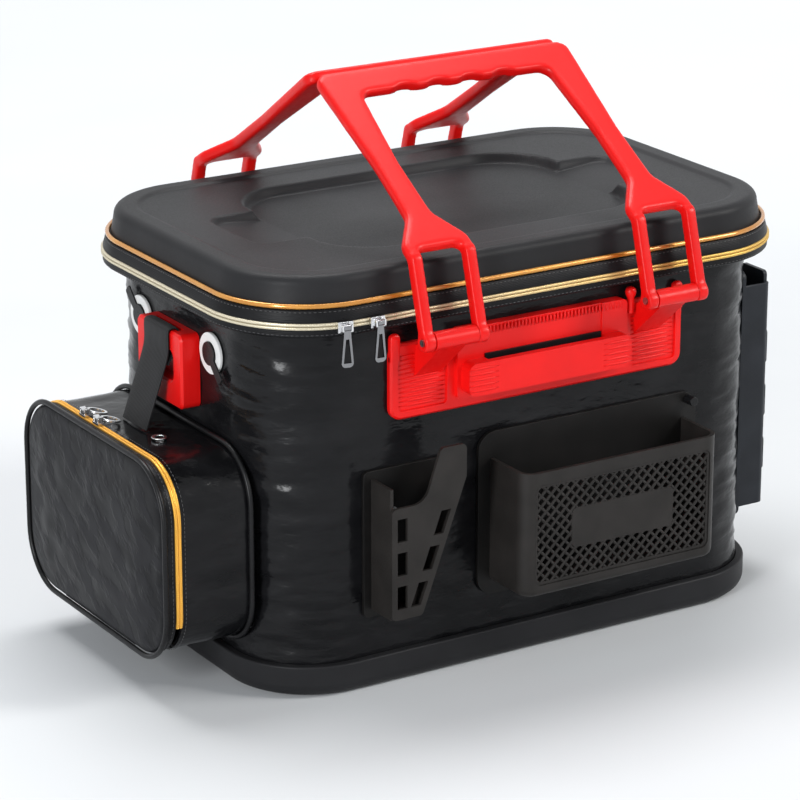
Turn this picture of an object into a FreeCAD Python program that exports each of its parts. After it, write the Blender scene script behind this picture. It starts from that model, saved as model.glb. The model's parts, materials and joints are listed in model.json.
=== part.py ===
import FreeCAD, Part
import math
import os
from types import SimpleNamespace

import Sketcher

# A soft-walled fishing bucket: moulded tray and lid, zip all round the lid, two folding bail
# handles on red brackets, a side bag, a mesh pocket and two holders. Millimetres, Z up.
# The origin is the centre of the underside. X runs along the front, Y to the back.

doc = FreeCAD.newDocument("FishingBucket")
sheet = doc.addObject("Spreadsheet::Sheet", "Sizes")

# Driving dimensions. "reach" is a distance outwards from a wall, "low" is a height, and "drop", "rise",
# "inset", "margin" and "share" place a piece from the one that carries it.
DIMENSIONS = {
    # tray, walls and rim
    "body_length": 428, "body_depth": 262, "corner_share": 0.2290076, "body_wall": 3, "body_top": 272,
    "seat_gap": 0.2, "tray_wall": 6, "tray_height": 24, "tray_floor": 4, "tray_edge": 10, "tray_lip": 1.5,
    "rim_overhang": 14, "rim_drop": 3.5, "rim_cap": 2, "rim_edge": 2,
    # main zip
    "tape_thick": 1.5, "tape_drop": 5, "tape_rise": 8.7, "chain_lift": 1, "chain_half": 2.2,
    "chain_gap": 0.3, "chain_width": 4, "chain_inset": 0.5, "chain_short": 13,
    "strip_inset": 16, "strip_thick": 1.2, "strip_height": 16,
    "slider_length": 11, "slider_plate": 2, "slider_play": 0.4, "slider_lip": 1.5, "slider_rise": 1,
    "slider_turn": 10, "slider_margin": 11,
    "ear_inside": 2.6, "ear_thick": 1.4, "ear_reach": 4.2, "ear_half": 2.2, "bar_radius": 1, "bar_reach": 2.6,
    "barrel_radius": 2.1, "bore_play": 0.05, "pull_play": 0.2, "pull_length": 28, "pull_thick": 1.6,
    "pull_top_half": 2.3, "pull_foot_half": 4.6, "pull_leg": 1.7, "pull_window_drop": 8, "pull_foot": 3,
    # lid
    "lid_rest": 0.3, "skirt_reach": 12, "skirt_thick": 4, "piping_radius": 2, "piping_seat": 0.2,
    "lid_rise": 21.6, "lid_draft": 3.8, "lid_edge": 7, "lid_thick": 4,
    "recess_inset_x": 26, "recess_inset_y": 45, "recess_corner": 44, "lobe_past": 14, "lobe_half": 34,
    "lobe_corner": 15, "lobe_root": 9, "recess_depth": 9, "recess_slope": 7,
    # bail handles and their hinges
    "hinge_inset": 31, "hinge_reach": 37, "hinge_rise": 10, "bend_reach": 21, "bend_rise": 55,
    "grip_offset": 12.5, "grip_rise": 88, "prong_inside": 17.5, "prong_thick": 8.5, "handle_thick": 9,
    "fan_low": 12, "fan_high": 36, "fan_neck_half": 10, "crotch_along": 6, "crotch_corner": 5,
    "shoulder_round": 12, "waist_half": 9, "waist_along": 84, "corner_half": 14, "grip_depth": 23,
    "grip_corner": 9, "eye_radius": 7, "pin_radius": 2.5, "pin_fit": 0.02, "pin_play": 0.05,
    "groove_radius": 19, "groove_depth": 3, "groove_share": 0.3, "handle_round": 2.6,
    "knuckle_half": 17, "knuckle_radius": 6.5, "neck_half": 11, "neck_low": 26, "neck_high": 4,
    # front and rear brackets
    "bracket_margin": 30, "bracket_drop": 20, "bracket_height": 55, "bracket_corner": 9, "flange_thick": 5,
    "flange_edge": 1.6, "block_inset": 21, "block_thick": 9, "block_low": 8, "block_high": 4,
    "block_corner": 4, "bridge_inset": 3, "bridge_low": 12, "bridge_height": 24, "bridge_reach": 20,
    "bridge_corner": 6, "slot_inset": 22, "slot_reach": 8, "slot_depth": 6.5,
    "panel_inset": 6, "panel_depth": 1.5, "panel_corner": 3, "backing_thick": 3, "backing_inset": 4,
    "backing_corner": 6, "screw_inset": 12, "screw_radius": 2, "screw_play": 0.1, "screw_bite": 3,
    "screw_head": 4, "screw_head_thick": 2.5,
    # left end wall: side bracket, webbing, air holes
    "side_centre": 6, "side_drop": 25, "side_height": 55, "side_corner": 5, "side_plate": 4,
    "side_frame": 15, "side_post": 13, "side_sill": 18, "side_bar": 15,
    "side_slot_reach": 5, "side_slot_depth": 5, "side_screw_edge": 6, "side_screw_inset": 8,
    "webbing_play": 2, "webbing_thick": 1.6, "webbing_gap": 0.8, "webbing_foot": 34,
    "ring_margin": 13, "ring_clear": 4, "ring_drop": 34, "ring_radius": 15, "ring_bore": 8.5,
    "ring_neck": 10.5, "ring_thick": 2.5, "washer_radius": 14, "washer_thick": 1.5, "plug_play": 0.1,
    "plug_cap": 9.8, "plug_cap_thick": 2.5, "plug_gap": 0.3, "plug_tail": 2, "tab_length": 24, "tab_half": 4,
    # side bag
    "bag_gap": 0.3, "bag_half": 105, "bag_low": 35, "bag_drop": 16, "bag_corner": 37, "bag_wall": 3,
    "bag_depth": 56, "bag_zip": 2.2, "bag_zip_gap": 0.3, "bag_zip_proud": 1, "bag_zip_end": 26,
    "flap_depth": 11, "flap_edge": 4, "flap_panel": 3, "bag_piping": 2, "bag_piping_seat": 0.2,
    "bag_tape_half": 54, "bag_tape_thick": 0.8, "bag_tape_reach": 7,
    "bag_slider_length": 9, "bag_slider_thick": 1.6, "bag_slider_at": 12, "bag_slider_step": 21,
    "ring_pull_out": 7.5, "ring_pull_in": 5.5, "ring_pull_thick": 1.2,
    "ring_pull_at": 9.9, "ring_pull_droop": 14,
    "eyelet_radius": 5.5, "eyelet_bore": 3.2, "eyelet_thick": 1.2, "eyelet_gap": 16, "eyelet_reach": 34,
    # mesh pocket on the front
    "pocket_gap": 38, "pocket_margin": 24, "pocket_low": 60, "pocket_depth": 45,
    "pocket_wall": 3, "pocket_corner": 12, "plate_thick": 3, "plate_margin": 10, "plate_drop": 23,
    "plate_rise": 20, "plate_corner": 14, "net_margin": 9, "net_corner": 6, "net_thick": 2,
    "net_pitch": 8.6, "net_bar": 1.5, "label_share_x": 0.2917, "label_share_z": 0.2059,
    "peg_radius": 3.5, "peg_reach": 9, "peg_past": 2, "peg_drop": 6, "rivet_radius": 2, "rivet_play": 0.1,
    "rivet_head": 4, "rivet_head_thick": 1.5, "rivet_inset": 24, "rivet_share": 0.25,
    # tool holder on the front
    "holder_inset": 15, "holder_foot": 25, "holder_mouth": 61, "holder_low": 60, "holder_depth": 28,
    "holder_wall": 2.5, "holder_margin": 6, "holder_corner": 4,
    "tongue_drop": 16, "tongue_rise": 24, "tongue_width": 21, "notch_width": 27, "notch_depth": 14,
    "notch_round": 14, "cut_width": 8, "cut_share": 0.2577, "cut_bar": 8, "cut_rise": 8, "cut_margin": 4.5,
    "holder_rivet_at": 17, "holder_rivet_share": 0.4742,
    # rod holder on the right end wall
    "rod_inset": 6, "rod_half": 20, "rod_low": 50, "rod_drop": 46, "rod_reach": 28, "rod_wall": 3,
    "rod_corner": 6, "rod_plate_margin": 5, "rod_plate_rise": 14, "rod_lip": 8, "rod_pad_low": 24,
    "rod_pad_gap": 16, "rod_pad_share": 0.2443, "rod_pad_proud": 2.5,
    "rod_rivet_low": 40, "rod_rivet_share": 0.625,
}


class Size:
    """A number together with the sheet expression it comes from."""

    def __init__(self, value, text):
        self.value = value
        self.text = text

    def __add__(self, other):
        return Size(self.value + number(other), f"({self.text} + {text(other)})")

    def __radd__(self, other):
        return Size(number(other) + self.value, f"({text(other)} + {self.text})")

    def __sub__(self, other):
        return Size(self.value - number(other), f"({self.text} - {text(other)})")

    def __rsub__(self, other):
        return Size(number(other) - self.value, f"({text(other)} - {self.text})")

    def __mul__(self, other):
        return Size(self.value * number(other), f"({self.text} * {text(other)})")

    def __rmul__(self, other):
        return Size(number(other) * self.value, f"({text(other)} * {self.text})")

    def __truediv__(self, other):
        return Size(self.value / number(other), f"({self.text} / {text(other)})")

    def __neg__(self):
        return Size(-self.value, f"(0 - {self.text})")


def number(size):
    return size.value if isinstance(size, Size) else float(size)


def text(size):
    return size.text if isinstance(size, Size) else repr(float(size))


def fill_sheet():
    for row, (alias, value) in enumerate(DIMENSIONS.items(), start=1):
        sheet.set(f"A{row}", alias)
        sheet.set(f"B{row}", str(value))
        sheet.setAlias(f"B{row}", alias)
    doc.recompute()
    sizes = {name: Size(float(value), f"Sizes.{name}") for name, value in DIMENSIONS.items()}
    return SimpleNamespace(**sizes)


S = fill_sheet()

# Places that several pieces share.
HALF_X = S.body_length / 2
HALF_Y = S.body_depth / 2
BODY_CORNER = S.body_depth * S.corner_share
CORNER_X = HALF_X - BODY_CORNER
CORNER_Y = HALF_Y - BODY_CORNER
RIM_TOP = S.body_top + S.rim_cap
CHAIN_LOW = RIM_TOP + S.chain_lift
CHAIN_SPLIT = CHAIN_LOW + S.chain_half
CHAIN_HIGH = CHAIN_SPLIT + S.chain_gap + S.chain_half
CHAIN_IN = S.rim_overhang - S.chain_inset
CHAIN_OUT = CHAIN_IN + S.chain_width
TAPE_OUT = S.rim_overhang + S.seat_gap + S.tape_thick
LEDGE = CHAIN_HIGH + S.tape_rise
LID_TOP = LEDGE + S.lid_rise
LID_WALL = S.skirt_reach - S.piping_radius - S.piping_seat
BRACKET_HALF = CORNER_X - S.bracket_margin
BRACKET_HIGH = S.body_top - S.bracket_drop
BRACKET_LOW = BRACKET_HIGH - S.bracket_height
HINGE_X = BRACKET_HALF - S.hinge_inset
HINGE_Y = HALF_Y + S.hinge_reach
HINGE_Z = BRACKET_HIGH + S.hinge_rise
BEND_Y = HALF_Y + S.bend_reach
BEND_Z = HINGE_Z + S.bend_rise
GRIP_RUN = BEND_Y - S.grip_offset
PRONG_OUT = S.prong_inside + S.prong_thick
FRONT_FACE = HALF_Y + S.seat_gap
SIDE_FACE = HALF_X + S.seat_gap
RING_SPREAD = CORNER_Y - S.side_centre - S.ring_margin
RING_Z = S.body_top - S.ring_drop
SIDE_HALF = RING_SPREAD - S.ring_radius - S.ring_clear
SIDE_HIGH = S.body_top - S.side_drop
SIDE_LOW = SIDE_HIGH - S.side_height
WINDOW_HALF = SIDE_HALF - S.side_post
WEBBING_HALF = WINDOW_HALF - S.webbing_play
WINDOW_LOW = SIDE_LOW + S.side_sill
WINDOW_HIGH = SIDE_HIGH - S.side_bar
BAG_HIGH = SIDE_LOW - S.bag_drop
TONGUE_HIGH = BRACKET_LOW - S.tongue_drop
HOLDER_HIGH = TONGUE_HIGH - S.tongue_rise
HOLDER_HEIGHT = HOLDER_HIGH - S.holder_low
HOLDER_LEFT = S.holder_inset - CORNER_X
HOLDER_FOOT = HOLDER_LEFT + S.holder_foot
HOLDER_RIGHT = HOLDER_LEFT + S.holder_mouth
CUT_STEP = HOLDER_HEIGHT * S.cut_share
PLATE_HIGH = BRACKET_LOW - S.plate_drop
POCKET_HIGH = PLATE_HIGH - S.plate_rise
POCKET_HEIGHT = POCKET_HIGH - S.pocket_low
POCKET_LEFT = HOLDER_RIGHT + S.pocket_gap
POCKET_RIGHT = CORNER_X - S.pocket_margin
ROD_MIDDLE = S.rod_inset - CORNER_Y
ROD_NEAR = ROD_MIDDLE - S.rod_half
ROD_FAR = ROD_MIDDLE + S.rod_half
ROD_HIGH = S.body_top - S.rod_drop
ROD_HEIGHT = ROD_HIGH - S.rod_low
ROD_PAD_STEP = ROD_HEIGHT * S.rod_pad_share
SUBPARTS = []


def bind(thing, path, size):
    thing.setExpression(path, text(size))


def slope(run, rise):
    """Angle of a slope above the horizontal, in degrees."""
    angle = math.degrees(math.atan2(rise.value, run.value))
    return Size(angle, f"atan2({rise.text}; {run.text})")


def span(run, rise):
    return Size(math.hypot(run.value, rise.value), f"hypot({run.text}; {rise.text})")


def new_body(label, turn=0, at=None):
    """A body, turned about Z and moved as a whole to where it belongs."""
    body = doc.addObject("PartDesign::Body", label)
    body.Label = label
    rotation = FreeCAD.Rotation(FreeCAD.Vector(0, 0, 1), number(turn))
    body.Placement = FreeCAD.Placement(FreeCAD.Vector(), rotation)
    if isinstance(turn, Size):
        body.setExpression("Placement.Rotation.Angle", f"{turn.text} * 1 deg")
    for axis, size in zip("xyz", at or ()):
        bind(body, f"Placement.Base.{axis}", size)
    SUBPARTS.append(body)
    return body


def sketch_on(body, plane, lift=0):
    """A sketch parallel to an origin plane of the body. XZ sketches lift towards -Y."""
    sketch = body.newObject("Sketcher::SketchObject", f"{body.Label}_sketch")
    support = next(item for item in body.Origin.OriginFeatures if item.Role == f"{plane}_Plane")
    sketch.AttachmentSupport = [(support, "")]
    sketch.MapMode = "FlatFace"
    bind(sketch, "AttachmentOffset.Base.z", lift)
    return sketch


def leaning_sketch(body, y, z, angle):
    """A sketch whose X is the body's X and whose Y climbs at an angle from +Y."""
    sketch = sketch_on(body, "XY", z)
    turn = FreeCAD.Rotation(FreeCAD.Vector(1, 0, 0), angle.value)
    sketch.AttachmentOffset = FreeCAD.Placement(FreeCAD.Vector(0, number(y), number(z)), turn)
    bind(sketch, "AttachmentOffset.Base.y", y)
    sketch.setExpression("AttachmentOffset.Rotation.Angle", angle.text)
    return sketch


def fix_point(sketch, geometry, position, x, y):
    """Hold a point of the sketch at x, y and bind both to the sheet."""
    for kind, size, axis in (("DistanceX", x, -2), ("DistanceY", y, -1)):
        if not isinstance(size, Size) and number(size) == 0:
            sketch.addConstraint(Sketcher.Constraint("PointOnObject", geometry, position, axis))
            continue
        index = sketch.addConstraint(Sketcher.Constraint(kind, -1, 1, geometry, position, number(size)))
        bind(sketch, f"Constraints[{index}]", size)


def fix_radius(sketch, geometry, radius):
    index = sketch.addConstraint(Sketcher.Constraint("Radius", geometry, number(radius)))
    bind(sketch, f"Constraints[{index}]", radius)


def draw_circle(sketch, x, y, radius):
    centre = FreeCAD.Vector(number(x), number(y), 0)
    geometry = sketch.addGeometry(Part.Circle(centre, FreeCAD.Vector(0, 0, 1), number(radius)))
    fix_point(sketch, geometry, 3, x, y)
    fix_radius(sketch, geometry, radius)


def corner_arc(before, corner, after, radius):
    """The arc that rounds a corner, and which of its ends comes first along the outline."""
    back = (before - corner).normalize()
    ahead = (after - corner).normalize()
    half = back.getAngle(ahead) / 2
    reach = radius / math.tan(half)
    centre = corner + (back + ahead).normalize() * (radius / math.sin(half))
    first = corner + back * reach
    last = corner + ahead * reach
    left_turn = back.cross(ahead).z < 0
    start, end = (first, last) if left_turn else (last, first)
    angles = [math.atan2(point.y - centre.y, point.x - centre.x) for point in (start, end)]
    if angles[1] < angles[0]:
        angles[1] += 2 * math.pi
    circle = Part.Circle(centre, FreeCAD.Vector(0, 0, 1), radius)
    return Part.ArcOfCircle(circle, *angles), first, last, (1, 2) if left_turn else (2, 1)


def draw_outline(sketch, corners):
    """A closed outline through corners (x, y) or (x, y, radius), counter-clockwise or not."""
    count = len(corners)
    points = [FreeCAD.Vector(number(corner[0]), number(corner[1]), 0) for corner in corners]
    arcs = {}
    starts, ends = list(points), list(points)
    for i, corner in enumerate(corners):
        if len(corner) == 3:
            after = points[(i + 1) % count]
            arcs[i] = corner_arc(points[i - 1], points[i], after, number(corner[2]))
            ends[i], starts[i] = arcs[i][1], arcs[i][2]
    lines = [sketch.addGeometry(Part.LineSegment(starts[i], ends[(i + 1) % count])) for i in range(count)]
    for i, corner in enumerate(corners):
        before, after = lines[i - 1], lines[i]
        if i not in arcs:
            sketch.addConstraint(Sketcher.Constraint("Coincident", before, 2, after, 1))
            fix_point(sketch, after, 1, corner[0], corner[1])
            continue
        shape, _, _, order = arcs[i]
        arc = sketch.addGeometry(shape)
        apex = sketch.addGeometry(Part.Point(points[i]), True)
        fix_point(sketch, apex, 1, corner[0], corner[1])
        sketch.addConstraint([
            Sketcher.Constraint("PointOnObject", apex, 1, before),
            Sketcher.Constraint("PointOnObject", apex, 1, after),
            Sketcher.Constraint("Tangent", before, 2, arc, order[0]),
            Sketcher.Constraint("Tangent", arc, order[1], after, 1),
        ])
        fix_radius(sketch, arc, corner[2])


def rectangle(left, low, right, high, corner=None):
    corners = [(left, low), (right, low), (right, high), (left, high)]
    return [(x, y, corner) for x, y in corners] if corner is not None else corners


def plan(reach):
    """The bucket's rounded outline seen from above, at a reach outside the wall."""
    x = HALF_X + reach
    y = HALF_Y + reach
    return rectangle(-x, -y, x, y, BODY_CORNER + reach)


def sketch_of(body, plane, lift, *outlines):
    sketch = sketch_on(body, plane, lift)
    for corners in outlines:
        draw_outline(sketch, corners)
    return sketch


def circles_on(body, plane, lift, places, *radii):
    sketch = sketch_on(body, plane, lift)
    for x, y in places:
        for radius in radii:
            draw_circle(sketch, x, y, radius)
    return sketch


def extrude(body, kind, sketch, length, both=False, back=False):
    feature = body.newObject(f"PartDesign::{kind}", f"{body.Label}_{kind.lower()}")
    feature.Profile = sketch
    bind(feature, "Length", length)
    feature.SideType = "Symmetric" if both else "One side"
    feature.Reversed = back
    return feature


def pad(body, sketch, length, both=False, back=False):
    return extrude(body, "Pad", sketch, length, both, back)


def cut(body, sketch, length, both=False, back=False):
    """Cut along the sketch's normal, or against it where back is set."""
    return extrude(body, "Pocket", sketch, length, both, not back)


def loft(body, kind, low, high):
    feature = body.newObject(f"PartDesign::{kind}", f"{body.Label}_loft")
    feature.Profile = low
    feature.Sections = [high]
    feature.Ruled = True
    return feature


def lies_at(axis, size):
    """Chooses the edges that lie wholly in the plane axis = size."""
    level = number(size)
    low, high = f"{axis}Min", f"{axis}Max"

    def chosen(edge):
        box = edge.BoundBox
        return abs(getattr(box, low) - level) < 1e-4 and abs(getattr(box, high) - level) < 1e-4

    return chosen


def round_edges(body, radius, chosen, kind="Fillet"):
    doc.recompute()
    base = body.Tip
    names = [f"Edge{i}" for i, edge in enumerate(base.Shape.Edges, start=1) if chosen(edge)]
    feature = body.newObject(f"PartDesign::{kind}", f"{body.Label}_edges")
    feature.Base = (base, names)
    bind(feature, "Radius" if kind == "Fillet" else "Size", radius)


def make_ring(label, low, height, inner, outer):
    """A band that follows the bucket's outline between two reaches."""
    body = new_body(label)
    pad(body, sketch_of(body, "XY", low, plan(outer), plan(inner)), height)
    return body


def make_pipe(body, spine, plane, lift, x, y, radius):
    """A round cord along a closed spine sketch, from a circle at one of its corners."""
    profile = circles_on(body, plane, lift, [(x, y)], radius)
    feature = body.newObject("PartDesign::AdditivePipe", f"{body.Label}_pipe")
    feature.Profile = profile
    feature.Spine = (spine, [])
    feature.Transition = "Transformed"


def make_fasteners(label, turn, places, inside, shank, radius, head, head_thick, outer_head=None):
    """Screws or rivets through a wall, headed inside it and, for rivets, outside as well."""
    body = new_body(label, turn)
    pad(body, circles_on(body, "XZ", inside, places, radius), shank)
    pad(body, circles_on(body, "XZ", inside, places, head), head_thick, back=True)
    if outer_head is not None:
        pad(body, circles_on(body, "XZ", inside + shank, places, outer_head), head_thick)


# Places of the fasteners, as x and z on the wall that carries them.
BRACKET_SCREWS = [
    (sign * (BRACKET_HALF - S.screw_inset), z)
    for sign in (-1, 1)
    for z in (BRACKET_LOW + S.screw_inset, BRACKET_HIGH - S.screw_inset)
]
SIDE_SCREWS = [
    (sign * (SIDE_HALF - S.side_screw_edge) - S.side_centre, z)
    for sign in (-1, 1)
    for z in (SIDE_LOW + S.side_screw_inset, SIDE_HIGH - S.side_screw_inset)
]
POCKET_RIVETS = [
    (x, z)
    for x in (POCKET_LEFT + S.rivet_inset, POCKET_RIGHT - S.rivet_inset)
    for z in (S.pocket_low + POCKET_HEIGHT * S.rivet_share, POCKET_HIGH - POCKET_HEIGHT * S.rivet_share)
]
HOLDER_RIVETS = [
    (HOLDER_LEFT + S.holder_rivet_at, S.holder_low + S.rivet_inset + i * HOLDER_HEIGHT * S.holder_rivet_share)
    for i in range(2)
]
ROD_RIVETS = [
    (ROD_MIDDLE, S.rod_low + S.rod_rivet_low + i * ROD_HEIGHT * S.rod_rivet_share)
    for i in range(2)
]
AIR_HOLES = {"front": RING_SPREAD - S.side_centre, "rear": -RING_SPREAD - S.side_centre}


# Tray, walls and rim

def make_tray():
    body = new_body("base_tray")
    pad(body, sketch_of(body, "XY", 0, plan(S.tray_wall + S.seat_gap)), S.tray_height)
    round_edges(body, S.tray_edge, lies_at("Z", 0))
    round_edges(body, S.tray_lip, lies_at("Z", S.tray_height))
    cut(body, sketch_of(body, "XY", S.tray_floor, plan(S.seat_gap)), S.tray_height)


def make_walls():
    body = new_body("body_shell")
    pad(body, sketch_of(body, "XY", S.tray_floor, plan(0)), S.body_top - S.tray_floor)
    floor_top = S.tray_floor + S.body_wall
    cut(body, sketch_of(body, "XY", floor_top, plan(-S.body_wall)), S.body_top)
    through = S.body_wall * 2
    bracket_hole = S.screw_radius + S.screw_play
    rivet_hole = S.rivet_radius + S.rivet_play
    cut(body, circles_on(body, "XZ", 0, BRACKET_SCREWS, bracket_hole), S.body_depth * 2, both=True)
    front = HALF_Y - S.body_wall / 2
    cut(body, circles_on(body, "XZ", front, POCKET_RIVETS + HOLDER_RIVETS, rivet_hole), through, both=True)
    left = S.body_wall / 2 - HALF_X
    left_screws = [(-x, z) for x, z in SIDE_SCREWS]
    cut(body, circles_on(body, "YZ", left, left_screws, bracket_hole), through, both=True)
    air_holes = [(-x, RING_Z) for x in AIR_HOLES.values()]
    cut(body, circles_on(body, "YZ", left, air_holes, S.ring_neck + S.screw_play), through, both=True)
    right = HALF_X - S.body_wall / 2
    rod_holes = circles_on(body, "YZ", right, ROD_RIVETS, rivet_hole)
    cut(body, rod_holes, through + S.body_wall * 2, both=True)


def make_rim():
    body = new_body("rim_band")
    low = S.body_top - S.rim_drop
    pad(body, sketch_of(body, "XY", low, plan(S.rim_overhang)), S.rim_drop + S.rim_cap)
    round_edges(body, S.rim_edge, lies_at("Z", low))
    cut(body, sketch_of(body, "XY", low, plan(S.seat_gap)), S.rim_drop)
    cut(body, sketch_of(body, "XY", low, plan(-S.body_wall)), S.rim_drop + S.rim_cap)


# Main zip

def make_chain(label, low):
    """Half of the zip chain. It stops part way round the rear corners."""
    body = make_ring(label, low, S.chain_half, CHAIN_IN, CHAIN_OUT)
    x = HALF_X + S.rim_overhang * 2
    rear = rectangle(-x, HALF_Y - S.chain_short, x, HALF_Y + S.rim_overhang * 2)
    cut(body, sketch_of(body, "XY", low, rear), S.chain_half)


def make_zip():
    tape_in = S.rim_overhang + S.seat_gap
    make_ring("zip_tape_lower", CHAIN_LOW - S.tape_drop, S.tape_drop, tape_in, TAPE_OUT)
    make_chain("zip_chain_lower", CHAIN_LOW)
    make_chain("zip_chain_upper", CHAIN_SPLIT + S.chain_gap)
    body = new_body("zip_tape_upper")
    low = sketch_of(body, "XY", CHAIN_HIGH, plan(TAPE_OUT))
    high = sketch_of(body, "XY", LEDGE, plan(S.skirt_reach + S.tape_thick))
    loft(body, "AdditiveLoft", low, high)
    cut(body, sketch_of(body, "XY", CHAIN_HIGH, plan(S.skirt_reach + S.seat_gap)), S.tape_rise)


def make_hinge_strip():
    strip = doc.addObject("Part::Box", "hinge_strip")
    strip.Label = "hinge_strip"
    bind(strip, "Length", (CORNER_X - S.strip_inset) * 2)
    bind(strip, "Width", S.strip_thick)
    bind(strip, "Height", S.strip_height)
    bind(strip, "Placement.Base.x", -(CORNER_X - S.strip_inset))
    bind(strip, "Placement.Base.y", HALF_Y + TAPE_OUT + S.seat_gap)
    bind(strip, "Placement.Base.z", CHAIN_LOW - S.tape_drop)
    SUBPARTS.append(strip)


# Radii from the middle of a corner out to the parts of a slider, and the bar its pull swings on.
PLATE_IN = BODY_CORNER + CHAIN_OUT + S.slider_play
PLATE_OUT = PLATE_IN + S.slider_plate
BAR_OUT = PLATE_OUT + S.bar_reach
BAR_Z = CHAIN_SPLIT


def make_slider(label, at, turn):
    """A zip slider: a face plate with a lip under the lower chain, and two ears with a bar."""
    body = new_body(label, turn, at)
    low = CHAIN_LOW - S.slider_play - S.slider_lip
    tip = BODY_CORNER + TAPE_OUT + S.slider_play
    profile = [
        (-PLATE_OUT, low), (-tip, low), (-tip, low + S.slider_lip), (-PLATE_IN, low + S.slider_lip),
        (-PLATE_IN, CHAIN_HIGH + S.slider_rise), (-PLATE_OUT, CHAIN_HIGH + S.slider_rise),
    ]
    pad(body, sketch_of(body, "YZ", 0, profile), S.slider_length, both=True)
    ear = rectangle(-PLATE_OUT - S.ear_reach, BAR_Z - S.ear_half, -PLATE_OUT, BAR_Z + S.ear_half)
    pad(body, sketch_of(body, "YZ", S.ear_inside, ear), S.ear_thick)
    pad(body, sketch_of(body, "YZ", -S.ear_inside - S.ear_thick, ear), S.ear_thick)
    pad(body, circles_on(body, "YZ", 0, [(-BAR_OUT, BAR_Z)], S.bar_radius), S.ear_inside * 2, both=True)


def make_pull(label, at, turn):
    """A tapered, open-centred pull on a barrel round the slider's bar."""
    body = new_body(label, turn, at)
    width = (S.ear_inside - S.pull_play) * 2
    barrel = circles_on(body, "YZ", 0, [(-BAR_OUT, BAR_Z)], S.barrel_radius, S.bar_radius + S.bore_play)
    pad(body, barrel, width, both=True)
    top = BAR_Z - (S.bar_radius + S.barrel_radius) / 2
    foot = BAR_Z - S.pull_length
    window_top = BAR_Z - S.pull_window_drop
    outer = [
        (-S.pull_foot_half, foot, S.pull_foot), (S.pull_foot_half, foot, S.pull_foot),
        (S.pull_top_half, top), (-S.pull_top_half, top),
    ]
    window_foot = S.pull_foot_half - S.pull_leg
    window_head = S.pull_top_half / 2
    window = [
        (-window_foot, foot + S.pull_foot), (window_foot, foot + S.pull_foot),
        (window_head, window_top), (-window_head, window_top),
    ]
    pad(body, sketch_of(body, "XZ", BAR_OUT - S.pull_thick / 2, outer, window), S.pull_thick)


def make_sliders():
    places = {
        "left": ((-CORNER_X, -CORNER_Y, 0), -S.slider_turn),
        "right": ((S.slider_margin - CORNER_X, -CORNER_Y, 0), 0),
    }
    for side, (at, turn) in places.items():
        make_slider(f"zip_slider_{side}", at, turn)
        make_pull(f"zip_pull_{side}", at, turn)


# Lid

def recess(grow):
    """Half the sunk panel of the lid, mirrored: a rounded oblong with a lobe at each end."""
    x, y = CORNER_X - S.recess_inset_x + grow, HALF_Y - S.recess_inset_y + grow
    tip, half = CORNER_X + S.lobe_past + grow, S.lobe_half + grow
    right = [
        (x, -y, S.recess_corner), (x, -half, S.lobe_root), (tip, -half, S.lobe_corner),
        (tip, half, S.lobe_corner), (x, half, S.lobe_root), (x, y, S.recess_corner),
    ]
    left = [(-across, -along, corner) for across, along, corner in right]
    return right + left


def make_lid():
    body = new_body("lid_shell")
    low = RIM_TOP + S.lid_rest
    pad(body, sketch_of(body, "XY", low, plan(S.skirt_reach)), LEDGE - low)
    wall_low = sketch_of(body, "XY", LEDGE, plan(LID_WALL))
    wall_high = sketch_of(body, "XY", LID_TOP, plan(LID_WALL - S.lid_draft))
    loft(body, "AdditiveLoft", wall_low, wall_high)
    round_edges(body, S.lid_edge, lies_at("Z", LID_TOP))
    floor = LID_TOP - S.recess_depth
    sunk = sketch_of(body, "XY", floor, recess(0))
    loft(body, "SubtractiveLoft", sunk, sketch_of(body, "XY", LID_TOP, recess(S.recess_slope)))
    hollow = sketch_of(body, "XY", low, plan(LID_WALL - S.skirt_thick))
    cut(body, hollow, floor - S.lid_thick - low)


def make_piping():
    body = new_body("lid_piping")
    height = LEDGE + S.piping_seat + S.piping_radius
    spine = sketch_of(body, "XY", height, plan(S.skirt_reach))
    make_pipe(body, spine, "YZ", -CORNER_X, -HALF_Y - S.skirt_reach, height, S.piping_radius)


# Brackets and bail handles

def make_bracket(label, turn):
    body = new_body(label, turn)
    low, high, half = BRACKET_LOW, BRACKET_HIGH, BRACKET_HALF
    block_half = HINGE_X - S.block_inset
    bridge_half = block_half - S.bridge_inset
    slot_half = block_half - S.slot_inset
    face = FRONT_FACE + S.flange_thick
    pad(body, sketch_of(body, "XZ", FRONT_FACE, rectangle(-half, low, half, high, S.bracket_corner)),
        S.flange_thick)
    round_edges(body, S.flange_edge, lies_at("Y", -face), "Chamfer")
    block = rectangle(-block_half, low + S.block_low, block_half, high + S.block_high, S.block_corner)
    pad(body, sketch_of(body, "XZ", FRONT_FACE, block), S.block_thick)
    bridge_low = low + S.bridge_low
    bridge = rectangle(-bridge_half, bridge_low, bridge_half, bridge_low + S.bridge_height, S.bridge_corner)
    pad(body, sketch_of(body, "XZ", FRONT_FACE, bridge), S.bridge_reach)
    slot = rectangle(-slot_half, -FRONT_FACE - S.slot_reach - S.slot_depth, slot_half,
                     -FRONT_FACE - S.slot_reach)
    cut(body, sketch_of(body, "XY", low, slot), high - low + S.block_high)
    for sign in (-1, 1):
        inner, outer = block_half + S.panel_inset, half - S.panel_inset
        left, right = (inner, outer) if sign > 0 else (-outer, -inner)
        panel = rectangle(left, low + S.panel_inset, right, high - S.panel_inset, S.panel_corner)
        cut(body, sketch_of(body, "XZ", face, panel), S.panel_depth, back=True)
        add_knuckle(body, sign * HINGE_X)
    holes = circles_on(body, "XZ", FRONT_FACE, BRACKET_SCREWS, S.screw_radius + S.screw_play)
    cut(body, holes, S.screw_bite)


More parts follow.
